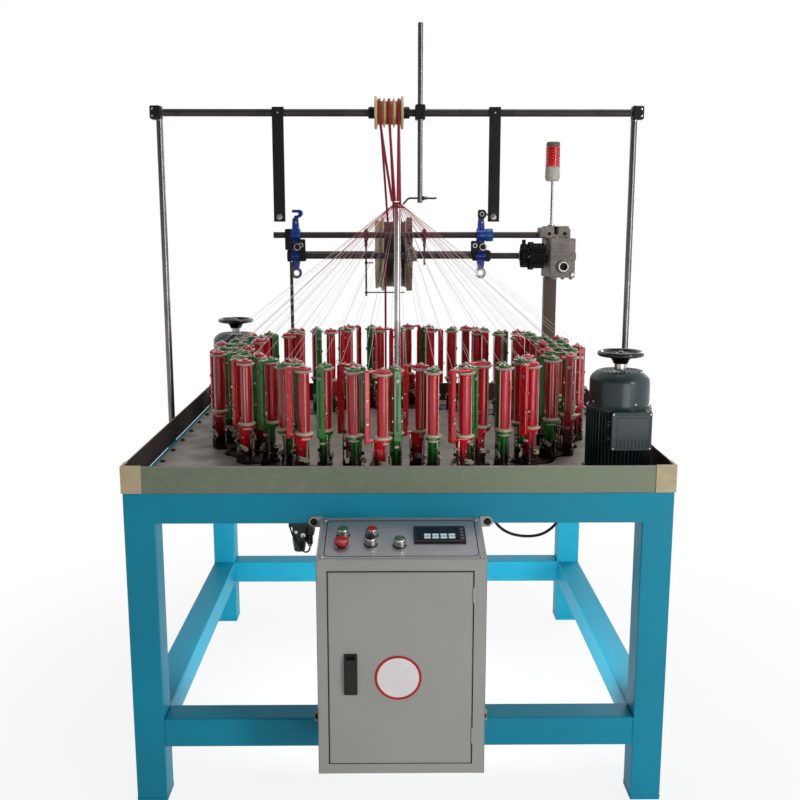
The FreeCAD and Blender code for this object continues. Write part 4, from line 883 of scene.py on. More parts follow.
@dataclass
class Carrier:
    """One bobbin carrier about its own pin, heading along +X, as patterns that every copy is stamped from."""

    foot: float = DECK + 0.3
    plate: float = 973.0
    bobbin: float = 172.0
    axis: float = 10.0
    tail: float = 38.0
    eye: float = 30.0  # how far behind the pin the yarn leaves the top plate
    bolts: Pair = (42.0, 104.0)  # heights of the post's cross bolts over the lower plate
    patterns: dict[str, bpy.types.Mesh] = field(default_factory=dict)

    @property
    def top(self) -> float:
        """Underside of the top plate."""
        return self.plate + self.bobbin + 3

    def build(self) -> None:
        """Makes the painted, wound, top, base, bright and dark patterns."""
        self.patterns = {"painted": self._painted().mesh(), "package": self._package().mesh(),
                         "tops": self._tops().mesh(), "bases": self._bases().mesh(),
                         "bright": self._bright().mesh(), "shoe": self._shoe().mesh()}

    def _lobes(self, nose: float, tail: float, wide: float, waist: float) -> list[Pair]:
        """An outline with a round lobe at each end and a waist between them.

        Args:
            nose: How far it reaches ahead of the pin.
            tail: How far it reaches behind the pin.
            wide: Radius of the lobe ahead.
            waist: Half the width between the lobes.

        Returns:
            Its corners.
        """
        points = [(nose - wide + x, y) for x, y in (polar(wide, -100 + 200 * i / 9) for i in range(10))]
        points.append((-tail / 2 + 2, waist))
        points += [(-tail + 11 + x, y) for x, y in (polar(11, 110 + 140 * i / 4) for i in range(5))]
        return points + [(-tail / 2 + 2, -waist)]

    def _painted(self) -> Shape:
        """Ribbed stem, lower plate, slotted post and top plate, all one casting."""
        s, f, p, t = Shape(), self.foot, self.plate, self.top
        web = [(-15, f + 14), (15, f + 14), (13, f + 36), (15.5, p - 28), (20, p - 7), (-20, p - 7),
               (-15.5, p - 28), (-13, f + 36)]
        s.slab(web, -4.5, 4.5, ACROSS_Y, 1.2)
        s.box((-8, -13.5, f + 16), (8, 13.5, p - 10), 2.2, 2)
        s.bar((0, 0, p - 30), UP, 24, 13, 16, 0, 19)
        s.bar((0, -15, f + 50), BACK, 30, 8, 12)
        s.slab(self._lobes(32, self.tail, 20, 8), p - 7, p - 0.5, None, 1.2)
        s.box((-self.tail, -10, p - 12), (-self.tail + 12, 10, t + 2), 1.6, 1)
        s.box((-self.tail, -4.5, p + 14), (-self.tail + 14, 4.5, t - 12), 1.2, 1)
        for z in self.bolts:
            s.bar((-self.tail + 6, -11.5, p + z), BACK, 23, 5, 10)
        s.slab(self._lobes(31, self.tail, 17, 7), t, t + 5.5, None, 1.2)
        s.bar((self.axis, 0, t + 5), UP, 3, 11, 16, 1, 9)
        return s

    def _package(self) -> Shape:
        """Yarn wound a little fuller at the middle."""
        z0, h, r = self.plate + 4, self.bobbin - 8, 15.4
        crown = [(0, 0), (r - 1.4, 0), (r - 0.4, 8), (r + 0.2, h * 0.35), (r + 0.3, h * 0.65),
                 (r - 0.4, h - 8), (r - 1.4, h), (0, h)]
        return Shape().turned(crown, shift(self.axis, 0, z0), 24)

    def _tops(self) -> Shape:
        """Dished top flange with a small cap on the plate over it."""
        s, high, t = Shape(), self.plate + self.bobbin, self.top
        top = [(0, -7), (15, -7), (21, -5.2), (24.5, -2.2), (25.6, 0), (25, 1.2), (14, 0.6), (0, 0.6)]
        s.turned(top, shift(self.axis, 0, high), 24)
        s.turned([(0, 0), (7, 0), (6, 3.4), (0, 4)], shift(self.axis, 0, t + 7.5), 14)
        return s

    def _bases(self) -> Shape:
        """Toothed bottom flange, the ratchet collar under it, the fan-shaped stop levers at the stem, and two
        pale rods beside the package that are a painted highlight stripe.
        """
        s, low, f = Shape(), self.plate - 0.2, self.foot
        base = [(0, 0), (22, 0), (25, 2), (25, 5), (23, 6.4), (17, 8), (0, 8)]
        s.turned(base, shift(self.axis, 0, low), 36, 1.6)
        ratchet = [(0, 0), (16, 0), (18, 5), (0, 5)]
        s.turned(ratchet, shift(self.axis, 0, low - 12.5), 24, 2.2)
        fan = [(-3, -5), (12, -9), (27, -4), (29, 3), (20, 7), (8, 6), (-3, 5)]
        for y, turn in ((-17, 18), (14.6, 152)):
            s.slab(fan, 0, 2.4, shift(0, y, f + 50, "Y", turn) @ ACROSS_Y, 0.5)
        s.box((-23, -6, f + 78), (-14, 6, f + 84), 1.2, 1)
        # Pale rods beside the package: painted highlight stripes.
        for y in (-15.1, 15.1):
            s.rod((self.axis + 8.7, y, low + 6), (self.axis + 8.7, y, self.plate + self.bobbin - 5), 1.4, 8)
        return s

    def _bright(self) -> Shape:
        """Spindle end, nuts, thread eyes, guide hook, tension spring and slider of bright steel."""
        s, p, t = Shape(), self.plate, self.top
        s.bar((self.axis, 0, t + 7), UP, 7, 3.2, 10, 0.8)
        s.hexagon((self.axis - 12, 7, t + 5), UP, 4.2, 3)
        s.hexagon((22, -6, t + 5), UP, 3.6, 3)
        s.washer((-self.eye, 0, t + 5), UP, 4.4, 1.8, 2.8, 10)
        s.bar((-20, 6, t + 5), UP, 6, 2, 8)
        s.washer((-self.tail - 1.2, 0, p + 150), LEFT, 4.6, 2.2, 2.4, 10)
        for z in self.bolts:
            s.hexagon((-self.tail + 6, -11.4, p + z), FRONT, 3.4, 2.4)
            s.hexagon((-self.tail + 6, 11.4, p + z), BACK, 3.4, 2.4)
        hook = [(-self.tail + 2, -9, p + 62), (-self.tail - 2, -15, p + 60), (-self.tail + 3, -21, p + 55),
                (-self.tail + 9, -18, p + 50), (-self.tail + 6, -13, p + 52)]
        s.tube(hook, 1.3, 4)
        for x, y in ((17, 12), (-17, -12)):
            coil = [(x + 3.6 * math.cos(i * 1.4), y + 3.6 * math.sin(i * 1.4), self.foot + 24 + i * 1.9)
                    for i in range(26)]
            s.tube(coil, 0.9, 4)
            s.rod((x, y, self.foot + 10), (x, y, p - 6), 1.8, 8, 0.4)
            s.hexagon((x, y, self.foot + 18), UP, 4.6, 4)
        for y in SIDES:
            for x, out, rise, radius in ((0, 17.2, 50, 5), (4, 13.4, 74, 3.4), (-4, 13.4, 27, 3.4)):
                s.screw((x, y * out, self.foot + rise), (0, y, 0), radius)
        return s

    def _shoe(self) -> Shape:
        """Dark cast foot that slides on the deck, with its drive pin, side ears and rollers."""
        s, f = Shape(), self.foot
        plan = [(-30, -8), (-18, -17), (18, -17), (30, -8), (30, 8), (18, 17), (-18, 17), (-30, 8)]
        s.slab(plan, f, f + 9, None, 1.6)
        s.bar((0, 0, f + 8), UP, 18, 19, 16, 0, 13)
        s.box((-4.5, -4.5, f - 34), (4.5, 4.5, f + 1), 0.8, 1)
        for y in SIDES:
            s.box((-18, y * 9, f + 8), (14, y * 17, f + 30), 2.4, 1)
            s.rod((9, y * 8, f + 36), (9, y * 18, f + 36), 6, 10, 0.8)
            s.rod((-12, y * 8, f + 62), (-12, y * 16, f + 62), 5, 10, 0.8)
        return s


@dataclass
class Ring:
    """The horn gears with their riders, and the yarns that run up to the braid point."""

    gears: int = 32
    pitch: float = 100.0
    phase: float = 14.0
    first: float = -6.5
    plate_low: float = 821.0
    plate_high: float = 848.0
    plate_r: float = 48.0
    thread: float = 0.4
    braid_z: float = 1578.0
    gather: tuple[Pair, ...] = ((19.4, -2.6), (16.5, -0.4), (8.0, 9.6))  # radius, and height over braid_z
    blend: Pair = (1450.0, 1250.0)  # two heights over the yarns at which points are worked out, which nothing uses
    ends: dict[int, float] = field(default_factory=dict)

    def build(self) -> None:
        """One set of pieces for each horn gear."""
        carrier = Carrier()
        carrier.build()
        plate = self._plate().mesh()
        riders = [self._riders(index) for index in range(self.gears)]
        eyes = [at - heading * carrier.eye for pair in riders for at, heading in pair]
        order = sorted(range(len(eyes)), key=lambda i: math.atan2(eyes[i].y, eyes[i].x))
        step = math.tau / len(eyes)
        angles = [math.atan2(eyes[i].y, eyes[i].x) - rank * step for rank, i in enumerate(order)]
        first = sum(angles) / len(eyes)
        self.ends = {i: math.degrees(first + rank * step) for rank, i in enumerate(order)}
        for index, pair in enumerate(riders):
            self._gear(index, pair, carrier, plate)

    def _centre(self, index: int) -> tuple[Vector, Vector, Vector]:
        """Where a horn gear stands.

        Args:
            index: Its place round the ring, from 0.

        Returns:
            Its centre, the ring's direction there, and the outward one.
        """
        a = math.radians(self.first + 360 / self.gears * index)
        radius = self.pitch / (2 * math.sin(math.pi / self.gears))
        along, outward = Vector((math.cos(a), math.sin(a), 0)), Vector((math.sin(a), -math.cos(a), 0))
        return outward * radius, along, outward

    def _riders(self, index: int) -> list[tuple[Vector, Vector]]:
        """Where a horn gear's two carriers stand.

        Args:
            index: The gear's place round the ring, from 0.

        Returns:
            Place and heading of the red one and of the green one.
        """
        centre, along, outward = self._centre(index)
        turn, side = math.radians(self.phase), 1 if index % 2 == 0 else -1
        notch = along * math.sin(turn) + outward * (side * math.cos(turn))
        ahead = along * math.cos(turn) - outward * (side * math.sin(turn))
        return [(centre + notch * (self.pitch / 2), ahead), (centre + ahead * (self.pitch / 2), -notch)]

    def _plate(self) -> Shape:
        """A ground plate with four notches round its bore."""
        corners = [(36, 0)] + [(self.plate_r, 9 + 18 * i) for i in range(5)]
        outline = [polar(radius, 90 * i + angle) for i in range(4) for radius, angle in corners]
        s = Shape().slab(outline, self.plate_low, self.plate_high, None, 1)
        return s.bar((0, 0, self.plate_high - 1), UP, 4, 17, 20, 0.8)

    def _gear(self, index: int, riders: list[tuple[Vector, Vector]], carrier: Carrier,
              plate: bpy.types.Mesh) -> None:
        """Places the plate and two carriers of one horn gear, with their yarns.

        Args:
            index: The gear's place round the ring, from 0.
            riders: Place and heading of its red and its green carrier.
            carrier: The carrier's patterns.
            plate: The horn plate's pattern.
        """
        number = f"{index + 1:02d}"
        node = f"horn_gear_{number}"
        centre = self._centre(index)[0]
        pieces = {kind: Shape() for kind in ("bright", "tops", "bases", "package", "shoe")}
        pieces["shoe"].stamp(plate, self._place(centre, -riders[1][1]))
        threads = Shape()
        for colour, (at, heading) in zip(Colour, riders):
            place = self._place(at, heading)
            name, stands_for = f"carrier_{colour.name.lower()}_{number}", [node][:colour is Colour.RED]
            Shape().stamp(carrier.patterns["painted"], place).piece(name, colour.value, stands_for, node)
            for kind, shape in pieces.items():
                shape.stamp(carrier.patterns[kind], place)
            out = Vector((*polar(1, self.ends[2 * index + (colour is Colour.GREEN)]), 0))
            eye = place @ Vector((-carrier.eye, 0, carrier.top + 6.5))
            steps = [eye - Vector((0, 0, 1.5)), eye]
            steps += [out * radius + Vector((0, 0, self.braid_z + rise)) for radius, rise in self.gather]
            threads.tube(steps, self.thread, 4, False)
        looks = {"bright": ("carrier_steel", Coat.CHROME), "tops": ("bobbin_tops", Coat.FLOSS),
                 "bases": ("bobbin_bases", Coat.IVORY), "package": ("yarn_packages", Coat.PACKAGE),
                 "shoe": ("carrier_feet", Coat.SHOE)}
        for kind, (name, finish) in looks.items():
            pieces[kind].piece(f"{name}_{number}", finish, body=node)
        strands = threads.piece(f"yarns_{number}", Coat.THREAD, recalculate=False)
        strands.parent = None
        del strands["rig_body"]
        still, moving = [metres((centre.x * 0.6, centre.y * 0.6, z)) for z in self.blend]
        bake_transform(strands)

    def _place(self, centre: Vector, heading: Vector) -> Matrix:
        """Where a pattern that heads along +X stands."""
        turn = Matrix.Rotation(math.atan2(heading.y, heading.x), 4, "Z")
        return shift(centre.x, centre.y, 0) @ turn


@dataclass
class Motor:
    """An upright motor: foot flange, ribbed body, terminal box, fan cowl and inching wheel."""

    name: str
    x: float
    y: float
    facing: float
    wheel_body: str
    foot: float = DECK
    radius: float = 87.0
    body_low: float = 880.0
    body_high: float = 1045.0
    cowl: float = 80.0
    top: float = 1138.0
    ribs: int = 52
    rib_cut: float = 939.0  # where the ribs behind the terminal box end

    @property
    def here(self) -> Matrix:
        """Where the motor's own axes lie."""
        return shift(self.x, self.y, 0, angle=self.facing)

    def build(self, replaced: Sequence[str] = ()) -> None:
        """Makes the motor's pieces and its wheel.

        Args:
            replaced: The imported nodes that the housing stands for.
        """
        self._housing().piece(f"{self.name}_motor", Coat.MOTOR, replaced)
        self._terminal().piece(f"{self.name}_terminal", Coat.TERMINAL)
        self._fixings().piece(f"{self.name}_motor_fixings", Coat.BRIGHT)
        self._grille().piece(f"{self.name}_grille", Coat.BLACK)
        self._wheel()

    def _housing(self) -> Shape:
        """Flange, ribbed body and cowl."""
        s, r, here = Shape(), self.radius, self.here
        lo, hi, top = self.body_low, self.body_high, self.top
        flange = [(0, 0), (r + 6, 0), (r + 6, 14), (r + 3, 18), (0, 18)]
        s.turned(flange, here @ shift(0, 0, self.foot), 64)
        core = [(0, 0), (r - 9, 0), (r - 9, hi - lo - 14), (r - 2, hi - lo - 12), (r, hi - lo - 9),
                (r, hi - lo - 1), (r - 1, hi - lo), (0, hi - lo)]
        s.turned(core, here @ shift(0, 0, lo), 64)
        c = self.cowl
        hood = [(0, 0), (c + 2, 0), (c + 2, 4), (c, 5), (c, top - hi - 26), (c - 1.5, top - hi - 19),
                (c - 6, top - hi - 12), (c - 17, top - hi - 2), (c - 21, top - hi - 0.4),
                (c - 26, top - hi - 3), (0, top - hi - 3)]
        s.turned(hood, here @ shift(0, 0, hi), 64)
        for i in range(self.ribs):
            a = 360 * i / self.ribs
            high = self.rib_cut if 240 < a < 312 else hi - 11
            s.box((r - 11, -1.2, lo + 1), (r - 0.2, 1.2, high), 0.7, 1, here @ shift(0, 0, 0, "Z", a))
        return s

    def _terminal(self) -> Shape:
        """Cast box with a rimmed lid, upright ribs under the lid's panel, and two cable entries."""
        s, front, here = Shape(), -self.radius - 26, self.here
        x0, x1, z0, z1 = -43.5, 63.5, self.body_low + 61, self.body_low + 164
        s.box((x0 + 3, front + 5, z0 + 3), (x1 - 3, -50, z1 - 2), 5, 2, here)
        s.box((x0, front + 1.6, z0), (x1, front + 9, z1), 3, 2, here)
        for low, high in (((x0 + 1, z0 + 1), (x0 + 8, z1 - 1)), ((x1 - 8, z0 + 1), (x1 - 1, z1 - 1)),
                          ((x0 + 1, z1 - 8), (x1 - 1, z1 - 1)), ((x0 + 1, z0 + 1), (x1 - 1, z0 + 7))):
            s.box((low[0], front + 0.1, low[1]), (high[0], front + 3, high[1]), 1.4, 2, here)
        s.box((x0 + 15, front + 0.3, z0 + 28), (x1 - 12, front + 3, z1 - 14), 1.4, 2, here)
        for i in range(9):
            x = x0 + 16 + i * 9.6
            s.box((x, front + 0.2, z0 + 6), (x + 2.2, front + 3, z0 + 30), 0.6, 1, here)
        for z in (z0 + 30, z0 + 66):
            s.rod(here @ Vector((x0 + 4, front + 24, z)), here @ Vector((x0 - 7, front + 24, z)), 11, 20, 1.5)
        return s

    def _fixings(self) -> Shape:
        """Flange bolts, lid screws and cowl screws."""
        s, r, here = Shape(), self.radius, self.here
        for i in range(4):
            s.hexagon(here @ Vector((*polar(r - 1, 45 + 90 * i), self.foot + 18)), UP, 6, 6)
        for x in (-38, 58):
            for z in (67, 158):
                s.screw(here @ Vector((x, -r - 25.2, self.body_low + z)), here.to_3x3() @ Vector(FRONT), 3.2)
        for i in range(4):
            out = here.to_3x3() @ Vector((*polar(1, -70 + 90 * i), 0))
            s.screw(here @ Vector((0, 0, self.body_high + 12)) + out * (self.cowl - 0.4), out, 3.6)
        return s

    def _grille(self) -> Shape:
        """Holes of the cowl's air inlet, as dark studs in rings round the shaft: painted shade in the holes.
        """
        s = Shape()
        for radius, count in ((26, 14), (34, 18), (42, 22), (50, 26)):
            for i in range(count):
                p = self.here @ Vector((*polar(radius, 360 * i / count), self.top - 3))
                s.rod(p, p + Vector((0, 0, 0.5)), 2.6, 8)
        return s

    def _wheel(self) -> None:
        """Dished wheel with a round rim and conical hub on a bright neck, held by a nut."""
        base = shift(self.x, self.y, self.top + 0.3)
        rim = [(55.5 + x, 45 + y) for x, y in (polar(7, -135 + 27 * i) for i in range(11))]
        below = [(0, 18), (18, 18), (20, 20), (23, 27), (28, 34), (38, 37), (47, 38.6)]
        above = [(47, 44.6), (38, 42.5), (28, 40), (19, 39.6), (17, 40.5), (15, 45), (13.6, 46), (0, 46)]
        wheel = Shape().turned(below + rim + above, base, 64)
        wheel.piece(f"{self.name}_wheel", Coat.WHEEL, [self.wheel_body], self.wheel_body)
        neck = Shape().turned([(0, 0), (15, 0), (16, 1), (16, 18), (0, 18)], base, 32)
        neck.turned([(0, 46), (9, 46), (9, 47.2), (0, 47.2)], base, 20)
        neck.hexagon(base @ Vector((0, 0, 47)), UP, 6.5, 4.5)
        neck.piece(f"{self.name}_wheel_neck", Coat.BRIGHT, body=self.wheel_body)


@dataclass
class Pump:
    """The small oil pump under the front beam, with its fittings and short pipes."""

    x: float = -250.0
    y: float = -610.0
    top: float = 774.0

    def build(self) -> None:
        """Stepped block, motor can, unions and pipes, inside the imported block's room."""
        x, y, t = self.x, self.y, self.top
        s = Shape()
        s.box((x - 33, y - 28, t - 14), (x + 33, y + 28, t - 0.3), 2)
        s.box((x - 24, y - 24, t - 52), (x + 14, y + 24, t - 13), 4)
        s.bar((x - 8, y, t - 50), DOWN, 34, 19, 24, 2, 14)
        s.box((x + 12, y - 16, t - 40), (x + 31, y + 16, t - 16), 3)
        s.bar((x + 20, y - 12, t - 38), DOWN, 24, 8, 16, 1.5)
        s.piece("oil_pump", Coat.PUMP)
        f = Shape()
        f.hexagon((x + 4, y - 24, t - 34), FRONT, 7, 5)
        f.hexagon((x - 14, y - 24, t - 26), FRONT, 5, 4)
        f.hexagon((x + 20, y - 12, t - 62), DOWN, 6, 6)
        f.bar((x + 31, y, t - 28), RIGHT, 2, 6, 12)
        f.piece("oil_pump_unions", Coat.BRIGHT)
        p = Shape()
        p.tube([(x + 20, y - 12, t - 66), (x + 20, y - 12, t - 80), (x + 8, y - 20, t - 84),
                (x - 4, y - 26, t - 70), (x - 22, y - 27, t - 40), (x - 30, y - 20, t - 14)], 2.2, 8)
        p.tube([(x + 4, y - 28, t - 34), (x + 6, y - 29.5, t - 44), (x + 16, y - 28, t - 54),
                (x + 20, y - 20, t - 58)], 1.8, 8)
        p.piece("oil_pump_pipes", Coat.CABLE)


@dataclass
class Gantry:
    """Posts, rail, clamps, hanger bars, guide roller, height rod and braid former."""

    post_x: float = 712.0
    shoe: Pair = (784.0, 844.0)
    rod_x: float = 68.0
    clamp: Pair = (704.0, 738.0)
    hangers: Pair = (-357.0, 292.0)
    hanger_low: float = 1529.0
    rod_y: float = -25.0
    rod_top: float = 2103.0

    def build(self) -> None:
        """Every overhead piece."""
        self._tubes()
        self._clamps()
        self._hangers()
        self._roller()
        self._height_rod()
        self._former()

    def _tubes(self) -> None:
        """Round posts, and the rail with chamfered ends."""
        s = Shape()
        for side in SIDES:
            s.rod((side * self.post_x, 0, self.shoe[1] - 0.2), (side * self.post_x, 0, RAIL_Z - 20), 10, 32)
        s.piece("gantry_posts", Coat.POST, ["gantry_tubes"])
        Shape().bar((-700, 0, RAIL_Z), RIGHT, 1400, 11, 32, 1).piece("gantry_rail", Coat.ROD)

    def _clamps(self) -> None:
        """Split clamp blocks with their screws, and welded shoes."""
        s, screws, shoes = Shape(), Shape(), Shape()
        for side in SIDES:
            a, b = sorted((side * self.clamp[0], side * self.clamp[1]))
            s.box((a, -18, RAIL_Z - 20), (b, 18, RAIL_Z + 20), 5, 3)
            for z in (-10, 10):
                screws.screw((side * 729, -18, RAIL_Z + z), FRONT, 4.2)
            screws.hexagon((side * self.post_x, 0, RAIL_Z + 21), UP, 5, 0.9)
            screws.washer((side * self.post_x, 0, RAIL_Z - 23), UP, 13, 10, 2, 24)
            lo, hi = sorted((side * 700, side * 724))
            shoes.box((lo, -18, self.shoe[0]), (hi, 18, self.shoe[1]), 3, 2)
            shoes.washer((side * self.post_x, 0, self.shoe[1] - 0.1), UP, 14, 10, 3, 24)
            for z in (self.shoe[0] + 16, self.shoe[1] - 16):
                screws.hexagon((side * 723.5, 0, z), (side, 0, 0), 6, 0.5)
        x = self.rod_x
        s.box((x - 15, -40, RAIL_Z - 21), (x + 15, 17, RAIL_Z + 21), 3, 2)
        s.bar((x, -12, RAIL_Z + 21), UP, 3, 9, 16, 1)
        screws.screw((x + 15, -30, RAIL_Z + 8), RIGHT, 4.4)
        screws.screw((x + 15, 6, RAIL_Z + 8), RIGHT, 4.4)
        screws.hexagon((x, 17, RAIL_Z), BACK, 6, 4)
        for end in SIDES:
            x = ROLLER_X + end * (ROLLER_W / 2 + 9.3)
            s.bar((x - 9, 0, RAIL_Z), RIGHT, 18, 17, 32, 1.5)
            screws.screw((x, 0, RAIL_Z + 16.6), UP, 3)
        s.piece("gantry_clamps_black", Coat.BLACK, ["gantry_clamps"])
        screws.piece("gantry_screws", Coat.BRIGHT)
        shoes.piece("gantry_shoes", Coat.TEAL)

    def _hangers(self) -> None:
        """Folded flat bars over the rail, with a bolt through each lower end."""
        s, bolts, z = Shape(), Shape(), self.hanger_low + 14
        for x in self.hangers:
            s.box((x - 17.4, -17, self.hanger_low), (x + 17.4, -11.1, RAIL_Z + 14), 1.6, 2)
            s.box((x - 17.4, -16.5, RAIL_Z + 11), (x + 17.4, 10, RAIL_Z + 16), 1.4, 2)
            s.box((x - 17.4, 5, RAIL_Z + 2), (x + 17.4, 11, RAIL_Z + 15), 1.2, 1)
            bolts.washer((x, -17, z), FRONT, 9, 3, 1.6, 24)
            bolts.hexagon((x, -18.4, z), FRONT, 6.4, 5.4)
            bolts.bar((x, -23, z), FRONT, 3, 3.4, 12, 0.6)
            bolts.screw((x, -17, RAIL_Z), FRONT, 4)
        s.piece("hanger_bars", Coat.BLACK)
        bolts.piece("hanger_bolts", Coat.BRIGHT)

    def _roller(self) -> None:
        """Cream roller with three grooves whose bottoms are coloured reddish brown, and its bushes."""
        groove, width, radius, low = 3, ROLLER_W, 48.0, GROOVE_R
        pitch = width / groove
        profile = [(11.2, 0), (radius - 1.5, 0), (radius, 1.5), (radius, 6.5), (radius - 3, 8.2)]
        for i in range(groove):
            z = i * pitch
            start, end = z + (8.8 if i == 0 else 2.2), z + pitch - (8.8 if i == groove - 1 else 2.2)
            profile += [(low + 5, start), (low, start + 2.5), (low, end - 2.5), (low + 5, end)]
            if i < groove - 1:
                z += pitch
                profile += [(radius - 5, z - 1.4), (radius - 4, z), (radius - 5, z + 1.4)]
        profile += [(radius - 3, width - 8.2), (radius, width - 6.5), (radius, width - 1.5)]
        profile += [(radius - 1.5, width), (11.2, width)]
        place = shift(ROLLER_X - width / 2, 0, RAIL_Z, "Y", 90)
        Shape().turned(profile, place, 64).piece("roller", Coat.ROLLER, ["guide_roller"], "guide_roller")
        bush, groove_tint = Shape(), Shape()
        for i in range(groove):
            x = ROLLER_X - width / 2 + (i + 0.5) * pitch
            groove_tint.washer((x - 8, 0, RAIL_Z), RIGHT, low + 0.3, low - 3, 16, 64)
        groove_tint.piece("roller_wear", Coat.WORN, body="guide_roller")
        for end in SIDES:
            x = ROLLER_X + end * width / 2
            bush.washer((x - end * 1.5, 0, RAIL_Z), (end, 0, 0), 18, 11.3, 1.6, 32)
        bush.piece("roller_bushes", Coat.ROD, body="guide_roller")

    def _height_rod(self) -> None:
        """Polished rod with the bent hook through its foot."""
        x, y, z = self.rod_x, self.rod_y, FORMER_TOP + 14
        bar = Shape().rod((x, y, FORMER_TOP), (x, y, self.rod_top), 8, 32, 1.5)
        bar.piece("height_rod_bar", Coat.POST, ["height_rod"], "height_rod")
        s = Shape()
        s.tube([(x - 51, y, z - 18), (x - 45, y, z - 12), (x - 36, y, z - 1), (x - 28, y, z), (x - 16, y, z),
                (x + 12, y, z), (x + 32, y, z), (x + 43, y, z - 1), (x + 50, y, z + 1)], 3, 16)
        s.hexagon((x + 8, y, z), RIGHT, 6.5, 6)
        s.hexagon((x + 16, y, z), RIGHT, 5.5, 4)
        s.piece("height_rod_hook", Coat.ROD, body="height_rod")

    def _former(self) -> None:
        """Bright centre tube and the wire ring that the yarns gather over."""
        top, low = FORMER_TOP, DECK
        h = top - low
        bore = [(7, 0), (10, 0), (10, h - 1.5), (9, h), (7.6, h), (7, h - 1)]
        Shape().turned(bore, shift(0, 0, low), 40).piece("former_tube", Coat.TUBE, ["guide_tube"])
        s, z = Shape(), top - 12
        ring = [(17 + x, y) for x, y in (polar(2.4, 45 * i) for i in range(8))]
        s.turned(ring, shift(0, 0, z), 40)
        for side in SIDES:
            s.rod((side * 9, 0, z), (side * 17, 0, z), 1.9, 10)
        s.washer((0, 0, low), UP, 24, 10, 6, 32)
        s.washer((0, 0, low + 6), UP, 17, 10, 9, 32)
        s.piece("former_ring", Coat.ROD)


@dataclass
class Beacon:
    """The yarn-break light on its pole."""

    x: float = 557.0
    y: float = 540.0
    low: float = 1513.0
    pole: float = 1670.0

    def build(self) -> None:
        """Pole, socket, ribbed lens and cap."""
        at = shift(self.x, self.y, self.pole)
        Shape().rod((self.x, self.y, self.low), (self.x, self.y, self.pole + 2), 5.5, 24).washer(
            (self.x, self.y, self.low), UP, 14, 5.5, 5, 24).piece("lamp_pole", Coat.TUBE, ["signal_light"])
        base = [(0, 0), (19, 0), (24, 3), (26, 8), (27, 14), (27, 43), (26, 44), (26, 47), (27, 50), (0, 50)]
        Shape().turned(base, at, 48).piece("lamp_socket", Coat.LAMP)
        lens = [(0, 50.2), (26, 50.2)]
        for i in range(7):
            z = 53 + i * 9.4
            lens += [(26.8, z), (26.8, z + 6), (25.6, z + 7.7)]
        lens += [(25, 120), (0, 120)]
        Shape().turned(lens, at, 48).piece("lamp_lens", Coat.LENS)
        cap = [(0, 120), (25, 120), (25, 131), (22, 136), (0, 138)]
        Shape().turned(cap, at, 48).piece("lamp_cap", Coat.CAP_GREY)


